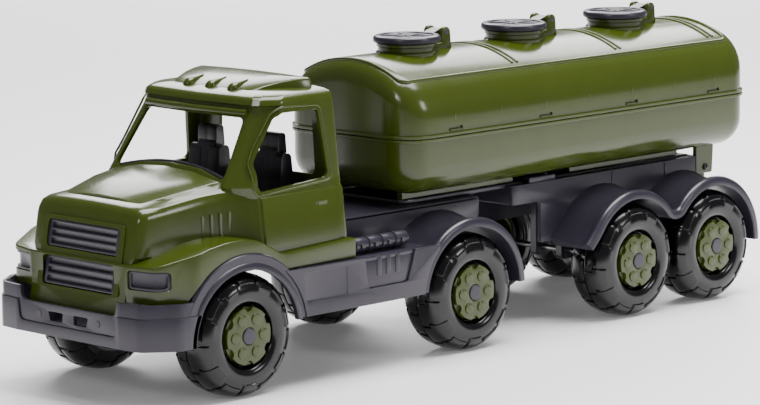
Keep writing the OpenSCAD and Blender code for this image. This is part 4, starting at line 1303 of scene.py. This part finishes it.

# ---------------------------------------------------------------- inside the cab
# One grey moulding, darkened with painted shade for the shadow inside the cab: floor, a dashboard with a
# rolled edge under the windscreen, and two bucket seats with three lobes in the back and a headrest in two.

SEAT_X = 29
room = [plate("cab_floor", "plan", rounded([(-60, 96), (60, 96), (60, 170), (-60, 170)], 3), 94, 97, 0.5)]
room.append(plate("dashboard", "side", rounded([(96, 94), (90.5, 119), (85, 124), (86.2, 129), (98, 127.5),
                                                (102, 94)],
                                               [1, 4, 2, 2, 3, 1]), -50, 50, 0.8, 3))
for s in (-1, 1):
    post = block("post", (s * 27 - 7, BUMPER + 120, 75.9), (s * 27 + 7, BUMPER + 150, 95))
    room.append(soften(post, 0.5, 2))
    cushion = plate("seat_cushion", "side", rounded([(124, 96), (124, 107), (144, 110.5), (152, 96)],
                                                    [1, 4, 3, 1]),
                    s * SEAT_X - 17, s * SEAT_X + 17, 2.4, 4)
    room.append(cushion)
    for k, half_w, top in ((-1, 6.2, 142), (0, 8.2, 145.5), (1, 6.2, 142)):
        x = s * SEAT_X + k * 9.6
        back = plate("seat_lobe", "side", rounded([(139, 104), (144.2 - abs(k), top), (151.6, top), (155, 97),
                                                   (141, 97)],
                                                  [3, 5, 4, 1, 1]), x - half_w, x + half_w)
        pick(back, "VERT", lambda c: c.z / MM > 130)
        bpy.ops.transform.resize(value=(0.9 if k == 0 else 0.84, 1, 1),
                                 center_override=((s * SEAT_X + k * 6) * MM, 0, 0))
        bpy.ops.object.mode_set(mode="OBJECT")
        room.append(soften(back, 3.4, 6, 30))
    for k in (-1, 1):
        rest = plate("headrest", "side", rounded([(145, 141), (145.6, 154.4), (152, 154.6), (153, 141)],
                                                 [2, 3, 3, 1]),
                     s * SEAT_X + k * 4.1 - 4.6, s * SEAT_X + k * 4.1 + 4.6)
        room.append(soften(rest, 2, 4, 30))
# rolled top edge of the dashboard along the foot of the windscreen
roll = [(x, BUMPER + screen_y(139 - (x / 51) ** 2 * 7) + 2.2, 138.3 - (x / 51) ** 2 * 6.6) for x in range(-48,
                                                                                                          49,
                                                                                                          6)]
room.append(bead("dash_roll", roll, 1.5))
for piece in room:
    smooth(piece, 50)
# the grey plastic made darker than GREY: a painted shade that stands in for the shadow inside the cab
SHADED_SEAT_GREY = moulded_plastic("grey_polypropylene_painted_shade", "#1b181f", 0.3, 0.2)
place(room, "cab_interior_moulding", ["cab_interior"], "tractor", "grey_plastic", SHADED_SEAT_GREY)

# ---------------------------------------------------------------- screws, axles and hinge pins
# Two zinc-plated cross-head screws hold the tank's brackets to the trailer. The wheels turn on drawn steel
# rods, and the lids on grey pins moulded like the lids themselves.


def bright_steel(name, colour, roughness, grain_mm):
    """Steel that was drawn or plated: bright metal, with fine lines left round it by the die."""
    material, tree, shader = new_material(name)
    coords = add_node(tree, "ShaderNodeTexCoord")
    grain = add_node(tree, "ShaderNodeTexNoise", {"Scale": 1000 / grain_mm, "Detail": 2.0},
                     Vector=coords.outputs["Object"])
    gloss = add_node(tree, "ShaderNodeMapRange", {"To Min": roughness * 0.7, "To Max": roughness * 1.4},
                     Value=grain.outputs["Fac"])
    tree.links.new(gloss.outputs["Result"], shader.inputs["Roughness"])
    tone = add_node(tree, "ShaderNodeValToRGB", Fac=grain.outputs["Fac"])
    tone.color_ramp.elements[0].color = tuple(c * 0.85 for c in srgb(colour)[:3]) + (1.0,)
    tone.color_ramp.elements[1].color = srgb(colour)
    tree.links.new(tone.outputs["Color"], shader.inputs["Base Color"])
    shader.inputs["Metallic"].default_value = 1.0
    return material


DRAWN_STEEL = bright_steel("drawn_steel", "#b4b4b2", 0.32, 0.8)
DARK_ZINC = bright_steel("dark_zinc_plate", "#3c3b3d", 0.35, 0.5)
screws = []
screw_low, screw_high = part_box("bracket_screws")
screw_y, screw_z = (screw_low.y + screw_high.y) / 2 / MM, (screw_low.z + screw_high.z) / 2 / MM
screw_out = screw_high.x / MM
HEAD_R = (screw_high.z - screw_low.z) / 2 / MM
for s in (-1, 1):
    head = draw("screw_head", [(s * (screw_out - 6), screw_y, screw_z),
                               (s * (screw_out - 6), screw_y, screw_z + 1.1),
                               (s * (screw_out - 1.3), screw_y, screw_z + 1.1),
                               (s * (screw_out - 1.3), screw_y, screw_z + HEAD_R),
                               (s * (screw_out - 0.8), screw_y, screw_z + HEAD_R),
                               (s * (screw_out - 0.2), screw_y, screw_z + 1.6),
                               (s * screw_out, screw_y, screw_z + 0.7), (s * screw_out, screw_y, screw_z)])
    turn_round(32, (0, screw_y, screw_z), (1, 0, 0), 0.03)
    for tall, wide in ((1.5, 0.32), (0.32, 1.5)):
        low_x, high_x = sorted((s * (screw_out - 0.7), s * (screw_out + 1)))
        carve(head, [block("cross", (low_x, screw_y - wide, screw_z - tall),
                           (high_x, screw_y + wide, screw_z + tall))])
    smooth(head, 35)
    screws.append(head)
place(screws, "bracket_screws_turned", ["bracket_screws"], "trailer", "steel", DARK_ZINC)
for node, material in [(axle + "_axle", DRAWN_STEEL) for axle in AXLES] + [("hinge_pins", GREY)]:
    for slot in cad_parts[node].material_slots:
        slot.material = material
